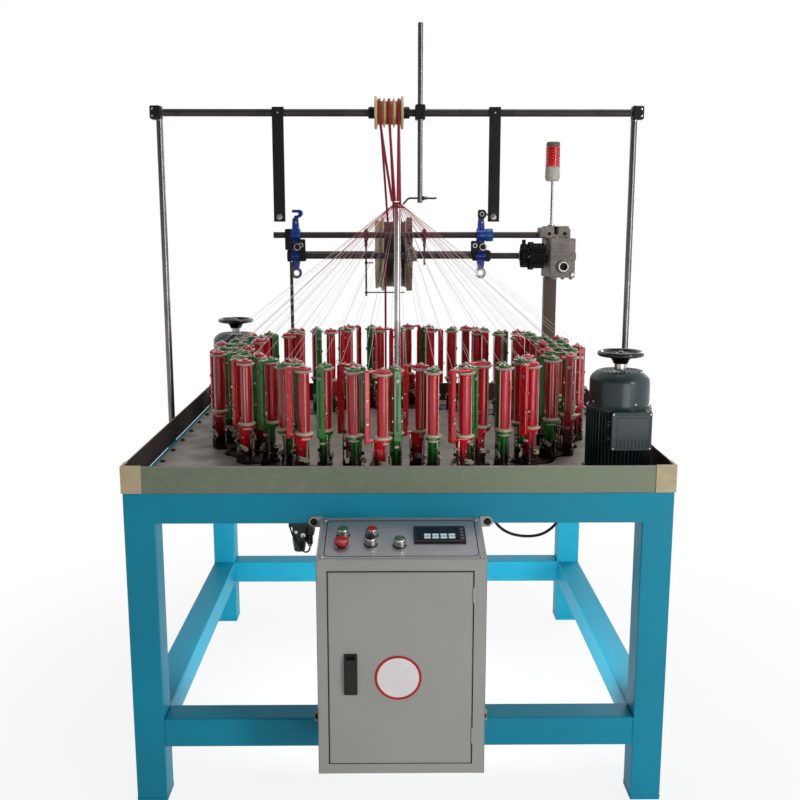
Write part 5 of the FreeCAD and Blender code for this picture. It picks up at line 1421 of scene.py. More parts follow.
@dataclass
class TakeUp:
    """The take-up behind the ring: column, gearbox, bars, cast arms, drum and gears."""

    column_x: float = 556.0
    box_left: float = 532.0
    box_right: float = 637.0
    box_low: float = 1331.0
    box_top: float = 1470.0
    lean: float = 16.0
    chuck: Pair = (510.0, 623.0)
    arms: Pair = (-361.0, 304.0)
    module: float = 6.0

    def build(self) -> None:
        """Every piece of the take-up."""
        self._stand()
        self._gearbox()
        self._guides()
        self._arms()
        self._links()
        self._drum()
        self._shaft()

    def _stand(self) -> None:
        """Square column on its foot, the fixed bar and the stay rod."""
        x, y = self.column_x, BAR_Y
        s = Shape().box((x - 22, y - 22, DECK + 11), (x + 22, y + 22, self.box_low), 3, 2)
        s.box((x - 47, y - 47, DECK), (x + 47, y + 47, DECK + 12), 2, 2)
        s.piece("column", Coat.COLUMN, ["take_up_stand"])
        bolts = Shape()
        for sx, sy in CORNERS:
            bolts.hexagon((x + sx * 36, y + sy * 36, DECK + 12), UP, 7, 6)
        bolts.piece("column_bolts", Coat.BLACK)
        bars = Shape().bar((-441, y, BAR_Z), RIGHT, 984, 11, 32, 1.2)
        bars.piece("fixed_bar", Coat.ROD)
        x, y = -377, 518
        stay = Shape().rod((x, y, DECK), (x, y, SHAFT_Z - 20), 6, 20).washer((x, y, DECK), UP, 14, 6, 5)
        stay.piece("stay_rod", Coat.ROD)

    def _gearbox(self) -> None:
        """Cast box with a slanted left side, flange, bearing boss and knob, under a slotted chuck."""
        y, lo, hi = BAR_Y, self.box_low, self.box_top
        left, right, lean = self.box_left, self.box_right, self.lean
        s = Shape()
        plan = [(left, y + 58), (left + lean, y - 58), (right, y - 58), (right, y + 58)]
        s.slab(plan, lo, hi, None, 3.5)
        a, b = left + lean + 5, right - 4
        s.slab([(a, y - 58), (b, y - 58), (b, y - 50), (a, y - 50)], lo + 6, hi - 6, shift(0, -0.8, 0), 0.8)
        s.box((left + 4, y - 26, hi - 60), (left + 12, y + 44, hi - 4), 3, 1)
        for x in (left + 30, left + 62, right - 14):
            s.bar((x, y - 52, lo - 6), UP, 12, 7, 12, 1.5)
        boss = [(13.6, 0), (22, 0), (22, 13), (20, 16), (15, 16), (13.6, 14.5)]
        bore, z = 593, SHAFT_Z - 36
        s.turned(boss, shift(bore, y - 58, z, "X", 90), 40)
        a, b = self.chuck
        s.box((a, y - 30, hi + 2), (a + 26, y + 30, hi + 38), 7, 3)
        s.box((a + 18, y - 30, hi), (a + 54, y + 30, hi + 43), 4, 2)
        s.box((a + 68, y - 30, hi), (b - 6, y + 30, hi + 43), 4, 2)
        s.box((b - 14, y - 26, hi), (b, y + 26, hi + 34), 4, 2)
        s.box((a + 40, y - 29, hi), (a + 82, y + 29, hi + 13), 1.5, 1)
        s.piece("gearbox", Coat.GEARBOX)
        d = Shape()
        # A black disc at the bottom of the boss's bore: painted shade in the hole.
        d.bar((bore, y - 57, z), FRONT, 3, 13.4, 24)
        d.bar((right, y, SHAFT_Z - 2), RIGHT, 10, 17, 28, 2)
        d.bar((a + 61, y - 6, hi + 12), UP, 30.5, 6, 16, 1.5)
        for x in (a + 36, b - 22):
            d.bar((x, y - 29, hi + 16), FRONT, 2, 7, 20, 0.5)
        d.piece("gearbox_bore", Coat.BLACK)
        b = Shape()
        b.hexagon((right - 10, y - 58, lo + 12), FRONT, 8, 6)
        b.hexagon((right - 2, y - 40, lo + 24), RIGHT, 7, 5)
        for x in (left + 38, right - 22):
            b.hexagon((x, y - 44, hi), UP, 5, 4)
        b.washer((bore, y - 73, z), FRONT, 17.5, 14, 1.2, 32)
        b.piece("gearbox_screws", Coat.BRIGHT)

    def _guides(self) -> None:
        """Collars on the fixed bar with hanging pins, feeler wires and their balls."""
        s, b, y = Shape(), Shape(), BAR_Y
        for x, low in ((-109.0, 1265.0), (100.0, 1375.0)):
            s.washer((x - 7, y, BAR_Z), RIGHT, 19, 11, 14, 32)
            s.box((x - 5, y - 26, BAR_Z - 6), (x + 5, y - 13, BAR_Z + 6), 1.5, 1)
            b.rod((x, y - 22.5, low), (x, y - 22.5, BAR_Z + 3), 3.4, 16, 0.6)
            s.bar((x, y - 22.5, BAR_Z - 40), UP, 26, 5.6, 16, 1)
            b.hexagon((x, y, BAR_Z + 18), UP, 4.6, 5)
        for rise, end in ((12.0, 29.0), (118.0, -83.0)):
            b.rod((-109, y - 22.5, 1265 + rise), (end, y - 22.5, 1265 + rise), 2.2, 10)
            ball = bmesh.new()
            bmesh.ops.create_uvsphere(ball, u_segments=16, v_segments=10, radius=5.6)
            s.take(ball, shift(-109, y - 22.5, 1265 + rise))
        s.piece("yarn_guide_collars", Coat.BLACK)
        b.piece("yarn_guide_pins", Coat.ROD)

    def _arms(self) -> None:
        """Blue cast arms: jaw head, tapered web, bosses and eye, with the black blocks beside them."""
        s, black, bright, y, up, low = Shape(), Shape(), Shape(), BAR_Y, BAR_Z, SHAFT_Z
        for x in self.arms:
            web = [(-10, 1358), (10, 1358), (15, 1388), (13, 1450), (13.5, 1502), (10, 1540), (-11, 1541),
                   (-13.5, 1500), (-15, 1470), (-13, 1440), (-15, 1392)]
            s.slab(web, y - 12, y + 12, shift(x, 0, 0) @ ACROSS_Y, 3)
            for z, r in ((up, 22.5), (low, 20)):
                ring = [(11, 0), (r - 1, 0), (r, 1.5), (r, 32.5), (r - 1, 34), (11, 34)]
                s.turned(ring, shift(x - 17, y, z, "Y", 90), 36)
            black.bar((x + 6, y - 11, 1439), FRONT, 12, 14, 24, 2)
            bright.washer((x + 6, y - 22.6, 1439), FRONT, 12.6, 9.4, 1.4, 24)
            s.box((x - 4, y - 15.5, 1500), (x + 10, y - 8, 1514), 2, 1)
            black.hexagon((x + 6, y - 22, 1439), FRONT, 6, 2)
            bright.hexagon((x + 2, y - 12, 1526), FRONT, 4, 3)
            bush = [(9, 0), (13.6, 0), (13.6, 14), (9, 14)]
            bright.turned(bush, shift(x, y + 7, 1346, "X", 90), 36)
            black.bar((x - 17.2, y, low), LEFT, 12.8, 18, 32, 2)
            black.bar((x + 17.2, y, low), RIGHT, 18.8, 17.5, 32, 2)
        left, right = self.arms
        jaw = [(-7, 1539), (9, 1540), (20, 1545), (27.6, 1555), (25, 1566), (16, 1570.6), (-12, 1570.6),
               (-12, 1560), (7, 1560), (12, 1556), (8, 1551), (-3, 1550)]
        s.slab(jaw, y - 10.8, y + 10.8, shift(left, 0, 0) @ ACROSS_Y, 2)
        black.slab([(-9, 1539), (10, 1539), (17, 1546), (17, 1564), (10, 1570.6), (-9, 1570.6), (-12, 1564),
                    (-12, 1546)], y - 10.8, y + 10.8, shift(right, 0, 0) @ ACROSS_Y, 2)
        bright.rod((right + 10, y - 2, 1560), (right + 27, y - 4, 1552), 5.4, 16, 1)
        bright.washer((right + 2, y - 10.6, 1555), FRONT, 9, 5, 2, 24)
        eye = [(13, 1), (18.5, 0), (20, 2), (20, 12), (18.5, 14), (13, 13)]
        s.turned(eye, shift(left, y + 7, 1346, "X", 90), 36)
        bright.turned(eye, shift(right, y + 7, 1346, "X", 90), 36)
        black.box((left - 38, y - 20, 1428), (left - 13, y + 18, 1503), 4, 2)
        black.box((left + 9, y - 20, 1388), (left + 35, y - 12.4, 1467), 3, 1)
        bright.washer((left + 19, y - 20, 1445), FRONT, 9, 5, 2.4, 24)
        black.box((right - 37, y - 22, 1414), (right - 9, y - 12.4, 1461), 3, 1)
        bright.washer((right - 22, y - 22, 1444), FRONT, 9, 5, 2.4, 24)
        collar = [(11, 0), (21, 0), (23, 2), (23, 24), (21, 26), (11, 26)]
        Shape().turned(collar, shift(right + 17, y, up, "Y", 90), 40).piece("bar_collar", Coat.AZURE)
        s.piece("cast_arms", Coat.BLUE, ["shaft_brackets"])
        black.piece("arm_blocks", Coat.BLACK)
        bright.piece("arm_bolts", Coat.BRIGHT)

    def _links(self) -> None:
        """Flat links from the arms back to the drum's shaft, with bearing rings."""
        s, rings = Shape(), Shape()
        for x in (-392.0, 321.0):
            outline = [(BAR_Y - 20, -14), (BAR_Y - 14, -20), (DRUM_Y + 14, -20), (DRUM_Y + 20, -14),
                       (DRUM_Y + 20, 14), (DRUM_Y + 14, 20), (BAR_Y - 14, 20), (BAR_Y - 20, 14)]
            points = [(py, SHAFT_Z + pz) for py, pz in outline]
            s.slab(points, 0, 14, shift(x, 0, 0) @ ACROSS_X, 1.5)
            out = -1 if x < 0 else 1
            face = x if x < 0 else x + 14
            for py in (BAR_Y, DRUM_Y):
                rings.washer((face - out * 0.5, py, SHAFT_Z), (out, 0, 0), 18, 11.4, 1.2, 32)
        s.piece("rear_links", Coat.BLACK)
        rings.piece("link_bushes", Coat.ROD)

    def _drum(self) -> None:
        """Dark drum between a thick stepped flange and a thin one, the gear with its hub and bolts, and the
        shaft.
        """
        y, z = DRUM_Y, SHAFT_Z
        drum = [(12, 0), (DRUM_R, 0), (DRUM_R, 76), (12, 76)]
        here = shift(-45, y, z, "Y", 90)
        Shape().turned(drum, here, 96).piece("drum", Coat.DRUM, ["take_up_roller"], "take_up_roller")
        left = [(12, 0), (127, 0), (129, 1.5), (124, 12), (123, 16), (126, 20), (135, 24), (137, 26),
                (137, 31), (135, 33), (12, 33)]
        flanges = Shape().turned(left, shift(-78, y, z, "Y", 90), 96)
        right = [(12, 0), (124, 0), (125, 1), (125, 7), (124, 8), (12, 8)]
        flanges.turned(right, shift(31, y, z, "Y", 90), 96)
        flanges.piece("drum_flanges", Coat.FLANGE, body="take_up_roller")
        gear = self._toothed(44, y)
        gear.bar((58, y, z), RIGHT, 12, 26, 32, 1.5)
        for i in range(6):
            across, up = polar(60, 60 * i)
            gear.hexagon((59, y + across, z + up), RIGHT, 6, 3)
        gear.piece("drum_gear", Coat.GEAR, body="take_up_roller")
        shaft = Shape().bar((-392, y, z), RIGHT, 727, 12, 32, 1)
        shaft.piece("drum_shaft", Coat.ROD, body="take_up_roller")

    def _toothed(self, teeth: int, y: float, phase: float = 0.0) -> Shape:
        """One of the two gears beside the drum, which mesh with each other."""
        pitch, m = teeth * self.module / 2, self.module
        return Shape().gear(teeth, pitch + 0.8 * m, pitch - 1.2 * m, (39, y, SHAFT_Z), 20, phase)

    def _shaft(self) -> None:
        """Lower shaft with its pinion, collars and the change gears beside the gearbox."""
        y, z = BAR_Y, SHAFT_Z
        bar = Shape().bar((-390, y, z), RIGHT, 937, 11, 32, 1)
        bar.piece("drive_bar", Coat.ROD, ["drive_shaft"], "drive_shaft")
        pinion = self._toothed(11, y, math.pi / 11)
        pinion.bar((57, y, z), RIGHT, 17, 20, 28, 1.5)
        pinion.piece("drive_pinion", Coat.GEAR, body="drive_shaft")
        gears, x = Shape(), self.box_left - 83
        gears.gear(24, 42, 37, (x, y, z), 24)
        gears.gear(34, 50, 45.5, (x + 27, y, z), 17)
        gears.gear(28, 45, 40.5, (x + 46, y, z), 36)
        gears.bar((x + 20, y, z), RIGHT, 30, 30, 24)
        gears.bar((x - 6, y, z), RIGHT, 8, 17, 24, 2, 19)
        gears.bar((x + 9, y - 10, z + 20), UP, 38, 7, 20, 2)
        gears.bar((x + 9, y - 10, z + 34), UP, 10, 9, 20, 2)
        gears.piece("change_gears", Coat.BLACK, body="drive_shaft")
        tips = Shape()
        tips.hexagon((x - 7, y, z), RIGHT, 14, 1.6)
        tips.washer((x + 25, y, z), RIGHT, 34, 26, 1.8, 32)
        tips.piece("change_gear_nuts", Coat.BRIGHT, body="drive_shaft")


@dataclass
class Cabinet:
    """The control cabinet on the table's front: shell, door, latch, panel and controls."""

    centre: float = 4.0
    width: float = 405.0
    front: float = -848.0
    back: float = -650.0
    low: float = 199.0
    front_top: float = 746.0
    rear_top: float = 790.0
    door: tuple[float, float, float, float] = (-171.0, 174.0, 227.0, 717.0)
    gap: float = 2.5
    hinges: Pair = (280.0, 640.0)
    latch: float = -118.0
    sign: Triple = (-4.0, 451.0, 56.0)  # its place across and up, and its radius

    @property
    def slope(self) -> float:
        """The panel's angle above level, in degrees."""
        return math.degrees(math.atan2(self.rear_top - self.front_top, self.back - self.front))

    def on_panel(self, x: float, up: float, rise: float = 0.0) -> Matrix:
        """A place across the slanted panel, up its slope and off its surface, whose Z is square to it."""
        return shift(x, self.front, self.front_top, "X", self.slope) @ shift(0, up, rise)

    def build(self) -> None:
        """Every piece of the cabinet."""
        self._shell()
        self._panel()
        self._door()
        self._controls()

    def _shell(self) -> None:
        """Folded shell with a door opening, tabs, hinge barrels, and a black gasket round the door that also
        fills the door gap as painted shade.
        """
        s, t = Shape(), 2.0
        x0, x1 = self.centre - self.width / 2, self.centre + self.width / 2
        f, b = self.front, self.back
        a, c, d, e = self.door
        g, high = self.gap, self.front_top - 0.6
        s.box((x0, f, self.low), (a - g, f + t, high), 0.7, 2)
        s.box((c + g, f, self.low), (x1, f + t, high), 0.7, 2)
        s.box((a - g - 1, f, self.low + 0.6), (c + g + 1, f + t - 0.2, d - g), 0.3, 1)
        s.box((a - g - 1, f, e + g), (c + g + 1, f + t - 0.2, high - 0.4), 0.3, 1)
        s.box((x0, b - t, self.low + 0.4), (x1, b, self.rear_top - 2), 0.7, 2)
        s.box((x0 + 0.4, f + 0.6, self.low), (x1 - 0.4, b, self.low + t), 0.7, 2)
        side = [(f, self.low), (b, self.low), (b, self.rear_top - 1), (f, self.front_top - 1)]
        for x in (x0, x1 - t):
            s.slab(side, x, x + t, ACROSS_X, 0.6)
        length = math.hypot(b - f, self.rear_top - self.front_top)
        s.box((x0, 0, -t), (x1, length, 0), 0.9, 2, self.on_panel(0, 0))
        # Black gasket behind the door gap: partly a real gasket, partly painted shade that makes the gap read
        # dark.
        gasket_and_shade = Shape().box((a - g - 1, f + t - 0.2, d - g), (a - 0.4, f + 12, e + g), 0.3, 1)
        gasket_and_shade.box((c + g - 1.4, f + t - 0.2, d - g), (c + g + 1.4, f + 12, e + g), 0.3, 1)
        for lo, hi in ((d - g - 1, d - 0.4), (e + 0.4, e + g + 1)):
            gasket_and_shade.box((a - g, f + t - 0.2, lo), (c + g, f + 12, hi), 0.3, 1)
        gasket_and_shade.piece("door_seal", Coat.KNOB)
        s.piece("cabinet_shell", Coat.CABINET, ["control_cabinet"])
        tabs, bolts = Shape(), Shape()
        for x, out in ((x0, -1), (x1, 1)):
            near, far, z = x - out * 1.5, x + out * 32, self.rear_top - 10
            cut = far - out * 9
            plan = [(near, z - 14), (cut, z - 14), (far, z - 5), (far, z + 5), (cut, z + 14), (near, z + 14)]
            tabs.slab(plan, b - 4, b, ACROSS_Y, 0.8)
            bolts.washer((x + out * 18, b - 4, z), FRONT, 9, 4, 1.2, 20)
            bolts.hexagon((x + out * 18, b - 5, z), FRONT, 6.8, 5)
            ends = sorted((x - out, x + out * 25))
            tabs.box((ends[0], b - 3, 234), (ends[1], b, 264), 1, 1)
            bolts.hexagon((x + out * 17, b - 3, 249), FRONT, 7.5, 6)
        tabs.piece("cabinet_tabs", Coat.CABINET)
        bolts.piece("cabinet_bolts", Coat.BLACK)
        knuckles = Shape()
        for z in self.hinges:
            knuckles.bar((c + 1, f - 2, z), UP, 19.8, 3, 16, 0.6)
        knuckles.piece("hinge_barrels", Coat.CABINET)

    def _panel(self) -> None:
        """Bare brushed plate with a printed border and corner screws."""
        x0, x1 = self.centre - self.width / 2, self.centre + self.width / 2
        plate = Shape().box((x0 + 8, 8, 0), (x1 - 8, 190, 1.2), 0.5, 1, self.on_panel(0, 0))
        plate.piece("panel_plate", Coat.PANEL)
        line, r, w = Shape(), 12, 2.4
        lo, hi, low, high = x0 + 18, x1 - 18, 16, 184
        corners = ((hi - r, high - r), (lo + r, high - r), (lo + r, low + r), (hi - r, low + r))
        path = [(x + across, y + up) for i, (x, y) in enumerate(corners)
                for across, up in (polar(r, 90 * i + turn) for turn in range(0, 91, 15))]
        for (ax, ay), (bx, by) in zip(path, path[1:] + path[:1]):
            along = Vector((bx - ax, by - ay, 0)).normalized()
            side = Vector((-along.y, along.x, 0)) * w / 2
            strip = [(ax + side.x, ay + side.y), (ax - side.x, ay - side.y), (bx - side.x, by - side.y),
                     (bx + side.x, by + side.y)]
            line.slab(strip, 1.1, 1.5, self.on_panel(0, 0))
        line.piece("panel_border", Coat.LINE)
        screws = Shape()
        for x in (x0 + 13, x1 - 13):
            for up in (12, 187):
                place = self.on_panel(x, up, 1.2)
                screws.screw(place.translation, place.to_3x3() @ Vector((0, 0, 1)), 4.4)
        screws.piece("panel_screws", Coat.BRIGHT)

    def _door(self) -> None:
        """Door pan with folded edges, barrels, the round sign, latch plate and lever."""
        a, c, d, e = [edge + side * 0.5 for edge, side in zip(self.door, (1, -1, 1, -1))]
        f, x = self.front - 2, self.latch
        s = Shape().box((a, f, d), (c, f + 2, e), 1.0, 3)
        for lo, hi in (((a, f, d), (a + 2, f + 14, e)), ((c - 2, f, d), (c, f + 14, e)),
                       ((a, f, d), (c, f + 14, d + 2)), ((a, f, e - 2), (c, f + 14, e))):
            s.box(lo, hi, 0.6, 1)
        for z in self.hinges:
            s.bar((c + 1.5, f, z + 20.4), UP, 19.6, 3, 16, 0.6)
        s.piece("door_pan", Coat.CABINET, ["cabinet_door"], "cabinet_door")
        sx, sz, r = self.sign
        sign = Shape().bar((sx, f, sz), FRONT, 0.8, r, 72, 0.2)
        sign.piece("door_disc", Coat.SIGN_WHITE, body="cabinet_door")
        ring = Shape().washer((sx, f - 0.6, sz), FRONT, r + 0.5, r - 5.5, 0.7, 72)
        ring.piece("door_disc_ring", Coat.SIGN_RED, body="cabinet_door")
        plate = Shape().box((x - 16, f - 5, 408), (x + 16, f, 513), 3.5, 3)
        plate.bar((x, f - 5, 497), FRONT, 0.2, 12, 24)
        plate.piece("latch_plate", Coat.KNOB, body="cabinet_door")
        lever = Shape().box((x - 11, f - 15.3, 424), (x + 11, f - 9, 505), 3, 3)
        lever.box((x - 8, f - 12, 470), (x + 8, f - 5.4, 504), 3, 2)
        lever.box((x - 7, f - 15.2, 420.5), (x + 7, f - 10, 440), 2.4, 2)
        lever.piece("latch_lever", Coat.KNOB, ["door_latch"], "door_latch")
        key = Shape().bar((x, f - 11.9, 487), FRONT, 1, 6.5, 24, 0.3)
        key.box((x - 0.9, f - 13.2, 483), (x + 0.9, f - 12.6, 491), 0.1, 1)
        key.piece("latch_key", Coat.BRIGHT, body="door_latch")

    def _controls(self) -> None:
        """Bezels, three keys, the mushroom head, the selector and the display."""
        bezels, black = Shape(), Shape()
        ring = [(11.6, 0), (14, 0), (14, 3), (13.2, 4), (13.2, 7), (15, 8), (15, 19), (14, 20.8), (12.6, 21),
                (11.6, 20)]
        places = {"start_button": (-138, 113), "stop_button": (-68, 113), "jog_button": (0, 65),
                  "emergency_stop": (-140, 64), "selector_switch": (-70, 71)}
        for node, at in places.items():
            low = node == "emergency_stop"
            bezels.turned([(11.6, 0), (16, 0), (16, 2), (14.6, 2.8), (11.6, 2.4)] if low else ring,
                          self.on_panel(*at), 36)
            black.turned([(14, 0), (17, 0), (17, 1.4), (14, 2)], self.on_panel(*at, 1.2 - low), 36)
        neck = [(0, 0.4), (10.4, 0.4), (10.4, 8.6), (0, 8.6)]
        black.turned(neck, self.on_panel(*places["emergency_stop"]), 36)
        bezels.piece("bezels", Coat.BRIGHT)
        black.piece("bezel_gaskets", Coat.KNOB)
        key = [(0, 8.4), (10.6, 8.4), (10.9, 8.8), (10.9, 22), (10, 23.6), (7, 24), (5, 23.6), (0, 23.4)]
        for node, finish in (("start_button", Coat.GREEN_KEY), ("stop_button", Coat.RED_KEY),
                             ("jog_button", Coat.GREEN_KEY)):
            cap = Shape().turned(key, self.on_panel(*places[node]), 36)
            cap.piece(f"{node}_cap", finish, [node], node)
        head = [(0, 14.4), (11.2, 14.4), (11.2, 7.8), (16, 7.8), (18, 9.4), (18.4, 15), (17, 18.8),
                (12, 20.6), (0, 21)]
        stop = "emergency_stop"
        mushroom = Shape().turned(head, self.on_panel(*places[stop]), 48)
        mushroom.piece("stop_mushroom", Coat.RED_KEY, [stop], stop)
        base = [(0, 0.4), (10.8, 0.4), (10.9, 22.6), (10, 23.8), (0, 23.9)]
        here = self.on_panel(*places["selector_switch"])
        grip = Shape().turned(base, here, 36)
        grip.box((-3.5, -10, 23), (3.5, 10, 32.5), 1.6, 2, here)
        grip.piece("selector_grip", Coat.KNOB, ["selector_switch"], "selector_switch")
        mark = Shape().box((-0.8, 2, 32.2), (0.8, 9.4, 32.6), 0.1, 1, here)
        mark.piece("selector_mark", Coat.SIGN_WHITE, body="selector_switch")
        at = self.on_panel(0, 0)
        Shape().box((35, 72, 0.5), (162, 146, 8.8), 2.2, 2, at).piece("display_case", Coat.KNOB)
        Shape().box((41, 78, 8.6), (146, 140, 9.1), 0.3, 1, at).piece("display_glass", Coat.SCREEN)
        lit = Shape()
        for i in range(4):
            for j in range(2):
                lit.box((60 + 20 * i, 84 + 13 * j, 8.9), (76 + 20 * i, 94 + 13 * j, 9.2), 0.2, 1, at)
        lit.piece("display_fields", Coat.LIT)
        keys = Shape()
        for j in range(4):
            keys.box((149, 81 + 15 * j, 8.6), (157, 89 + 15 * j, 9.4), 0.8, 1, at)
        keys.piece("display_keys", Coat.CAP_GREY)


@dataclass
class Cords:
    """The motor's cable between its glands, and the braids over the roller to the drum and the deck."""

    cable_y: float = -500.0
    gap: float = 0.3  # between a braid's surface and what it runs on
    start: float = 1591.0
    spread: float = 24.0
    fall: Triple = (-40.0, 1230.0, 1130.0)  # the finished braid's place across, and its bends

    def build(self) -> None:
        """Every cord."""
        self._cable()
        self._braids()

    def _cord(self, name: str, route: Sequence[Triple], finish: Finish,
              replaces: Sequence[str] = ()) -> None:
        """One cord on a smooth line.

        Args:
            name: The piece's name.
            route: Its control points, in millimetres.
            finish: Its material.
            replaces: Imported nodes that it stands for.
        """
        curve = bpy.data.curves.new(name, "CURVE")
        curve.dimensions, curve.bevel_depth, curve.bevel_resolution = "3D", BRAID_R / 1000, 3
        curve.resolution_u, curve.use_fill_caps = 16, True
        spline = curve.splines.new("NURBS")
        spline.points.add(len(route) - 1)
        for point, place in zip(spline.points, route):
            point.co = (*metres(place), 1)
        spline.order_u, spline.use_endpoint_u = 3, True
        curve.materials.append(finish.material())
        made = bpy.data.objects.new(name, curve)
        bpy.context.scene.collection.objects.link(made)
        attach(made, MACHINE)
        if replaces:
            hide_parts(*replaces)
        bpy.context.view_layer.update()
        metres(route[0])

    def _cable(self) -> None:
        """Cable in a shallow bow under the bed plate, with a gland at each end."""
        route = [(250, 792), (250, 740), (290, 700), (348, 688), (400, 698), (440, 742), (440, 792)]
        points = [(x, self.cable_y, z) for x, z in route]
        self._cord("cable", points, Coat.CABLE, ["motor_cable"])
        glands = Shape()
        for x in (250, 440):
            glands.hexagon((x, self.cable_y, 812), DOWN, 9, 8)
            dome = [(4.2, 0), (8.6, 0), (8.6, 8), (7, 14), (4.6, 19.5), (4.2, 19.5)]
            glands.turned(dome, shift(x, self.cable_y, 804, "X", 180), 24)
        glands.piece("cable_glands", Coat.KNOB)

    def _braids(self) -> None:
        """Three braids up from the former, over the roller and back to the drum, and the finished one."""
        over, drum = [radius + BRAID_R + self.gap for radius in (GROOVE_R, DRUM_R)]
        fall, low = SHAFT_Z - RAIL_Z, self.start
        leave = math.atan2(fall, DRUM_Y) + math.acos((over - drum) / math.hypot(DRUM_Y, fall))
        meet = math.atan2(low - RAIL_Z, 0) - math.acos(over / (RAIL_Z - low)) + math.tau
        turn = (meet - leave) / 4
        reach = over / math.cos(turn / 2)
        for i in range(3):
            x = ROLLER_X + (i - 1) * ROLLER_W / 3
            route = [(x * 0.3, 0, low), (x * 0.65, over * math.cos(meet) * 0.5, (low + RAIL_Z) / 2 - 10)]
            route.append((x, over * math.cos(meet), RAIL_Z + over * math.sin(meet) - 8))
            for k in range(4):
                a = meet - turn * (k + 0.5)
                route.append((x, reach * math.cos(a), RAIL_Z + reach * math.sin(a)))
            route.append((x, over * math.cos(leave) + 8, RAIL_Z + over * math.sin(leave) - 5))
            y, z = drum * math.cos(leave), drum * math.sin(leave)
            route.append(((i - 1) * self.spread - 7, DRUM_Y + y, SHAFT_Z + z))
            stands_for = ["braid_strands"] if i == 0 else []
            self._cord(f"braid_{i + 1}", route, Coat.CORD, stands_for)
        tray, carriers = 650 - 2, 510.1 + 50 + 38
        (x, first, second), front, behind = self.fall, DRUM_Y - drum, (tray + carriers) / 2
        route = [(x, front, SHAFT_Z), (x, front, first), (x, behind, second), (x, behind, DECK)]
        self._cord("finished_braid", route, Coat.CORD)


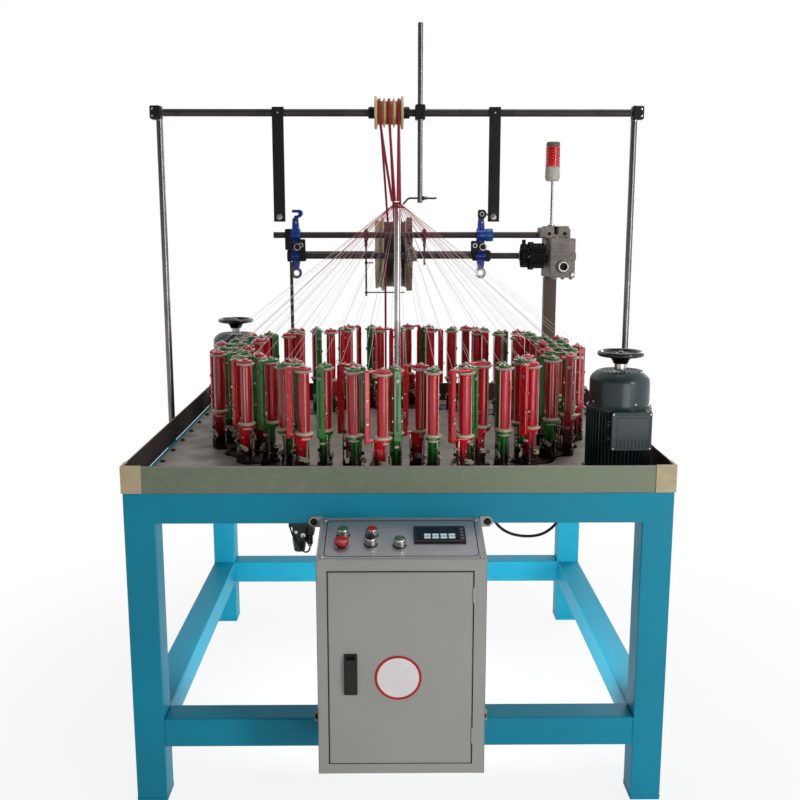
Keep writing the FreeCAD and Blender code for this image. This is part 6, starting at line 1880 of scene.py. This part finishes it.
@dataclass
class Studio:
    """Pale floor, soft lights and the camera."""

    floor: Triple = (236, 236, 236)
    white: Triple = (255, 255, 255)
    lens: float = 44.73
    eye: Triple = (-0.020, -3.07135, 1.534)
    swing: float = -0.52
    tilt: float = 10.26

    def build(self) -> None:
        """Makes the floor, world, lamps and camera."""
        self._floor()
        self._world()
        self._lamp("key", (3.2, -4.0, 1.9), (0.8, 2.6), 74)
        self._lamp("low", (1.6, -4.4, 0.55), (2.0, 0.8), 22)
        self._lamp("under", (0.05, -0.45, 0.5), (0.9, 0.3), 13, (0.05, 0.85, 0.3))
        self._lamp("fill", (-3.4, -2.6, 2.4), (1.6, 2.4), 3)
        self._lamp("top", (0.8, 0.4, 4.4), (2.2, 2.2), 40)
        self._lamp("back", (2.4, 2.8, 1.6), (1.2, 2.2), 40)
        self._camera()
        bpy.context.scene.view_settings.view_transform = "Standard"

    def _floor(self) -> None:
        """A wide plane that shows white to the camera and still takes the shadow."""
        bm = bmesh.new()
        bmesh.ops.create_grid(bm, x_segments=1, y_segments=1, size=30)
        mesh = bpy.data.meshes.new("floor")
        bm.to_mesh(mesh)
        bm.free()
        floor = bpy.data.objects.new("floor", mesh)
        bpy.context.scene.collection.objects.link(floor)
        recipe = Recipe(bpy.data.materials.new("floor"))
        where = recipe.place()
        tone = recipe.noise(where, 0.6, 2).mix(self.floor, (240, 240, 240))
        camera, gloss, glass = recipe.rays()
        seen = camera.math("MAXIMUM", gloss).math("MAXIMUM", glass)
        side, depth = where.axis(0), where.axis(1)
        away = ((side * side + depth * depth) ** 0.5).ramp(0.7, 2.1)
        sockets = {"Base Color": tone, "Roughness": 0.75, "Specular IOR Level": 0.1}
        matt = recipe.node("BsdfPrincipled", {}, sockets)
        glow = recipe.node("Emission", {}, {"Color": self.white, "Strength": 1.0})
        share = seen * (away * 0.14 + 0.86)
        shader = recipe.node("MixShader", {}, {0: share, 1: matt, 2: glow})
        recipe.node("OutputMaterial", {}, {"Surface": shader})
        mesh.materials.append(recipe.owner)
        floor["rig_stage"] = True

    def _world(self) -> None:
        """White behind everything, and a plain soft light that is stronger from the right and the rear."""
        world = bpy.data.worlds.new("studio")
        bpy.context.scene.world = world
        recipe = Recipe(world)
        camera, gloss, glass = recipe.rays()
        way = recipe.place("Generated")
        rear, right = way.axis(1).ramp(-0.2, 0.4), way.axis(0).ramp(0.4, 0.8)
        side = rear.math("MAXIMUM", right)
        mirrored, soft = side * 0.93 + 0.07, side * 0.14 + 0.16
        light = gloss.math("MAXIMUM", glass) * (mirrored - soft) + soft
        strength = camera.math("MAXIMUM", light)
        back = recipe.node("Background", {}, {"Color": self.white, "Strength": strength})
        recipe.node("OutputWorld", {}, {"Surface": back})

    def _lamp(self, name: str, place: Triple, size: Pair, power: float,
              aim: Triple = (0.0, 0, 0.9)) -> None:
        """An oblong soft lamp that faces the machine.

        Args:
            name: The lamp's name.
            place: Where it stands, in metres.
            size: Its width and height, in metres.
            power: Its power, in watts.
            aim: What it faces.
        """
        light = bpy.data.lights.new(name, "AREA")
        light.shape, light.size, light.size_y, light.energy = "RECTANGLE", *size, power
        lamp = bpy.data.objects.new(name, light)
        lamp.location = place
        lamp.rotation_euler = (Vector(aim) - Vector(place)).to_track_quat("-Z", "Y").to_euler()
        bpy.context.scene.collection.objects.link(lamp)

    def _camera(self) -> None:
        """Stands in front of the machine at eye height, looking slightly down."""
        data = bpy.data.cameras.new("camera")
        data.lens, data.sensor_width = self.lens, 36.0
        camera = bpy.data.objects.new("camera", data)
        camera.location = self.eye
        turn = shift(0, 0, 0, "Z", self.swing) @ shift(0, 0, 0, "X", 90 - self.tilt)
        camera.rotation_euler = turn.to_euler()
        bpy.context.scene.collection.objects.link(camera)
        bpy.context.scene.camera = camera


def corners() -> list[list[float]]:
    """The shown object's lowest and highest corners, as plain numbers."""
    return [[round(c, 5) for c in corner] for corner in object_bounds()]


def main() -> None:
    """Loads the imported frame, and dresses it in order."""
    logging.basicConfig(level=logging.INFO, format="%(message)s")
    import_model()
    Studio().build()
    Cords().build()
    Table().build()
    Tray().build()
    Ring().build()
    Motor("front", 595, -450, 0, "front_handwheel").build(["motor_housings"])
    Motor("rear", -572, 450, 180, "rear_handwheel").build()
    Pump().build()
    Gantry().build()
    TakeUp().build()
    Beacon().build()
    Cabinet().build()


if __name__ == "__main__":
    main()
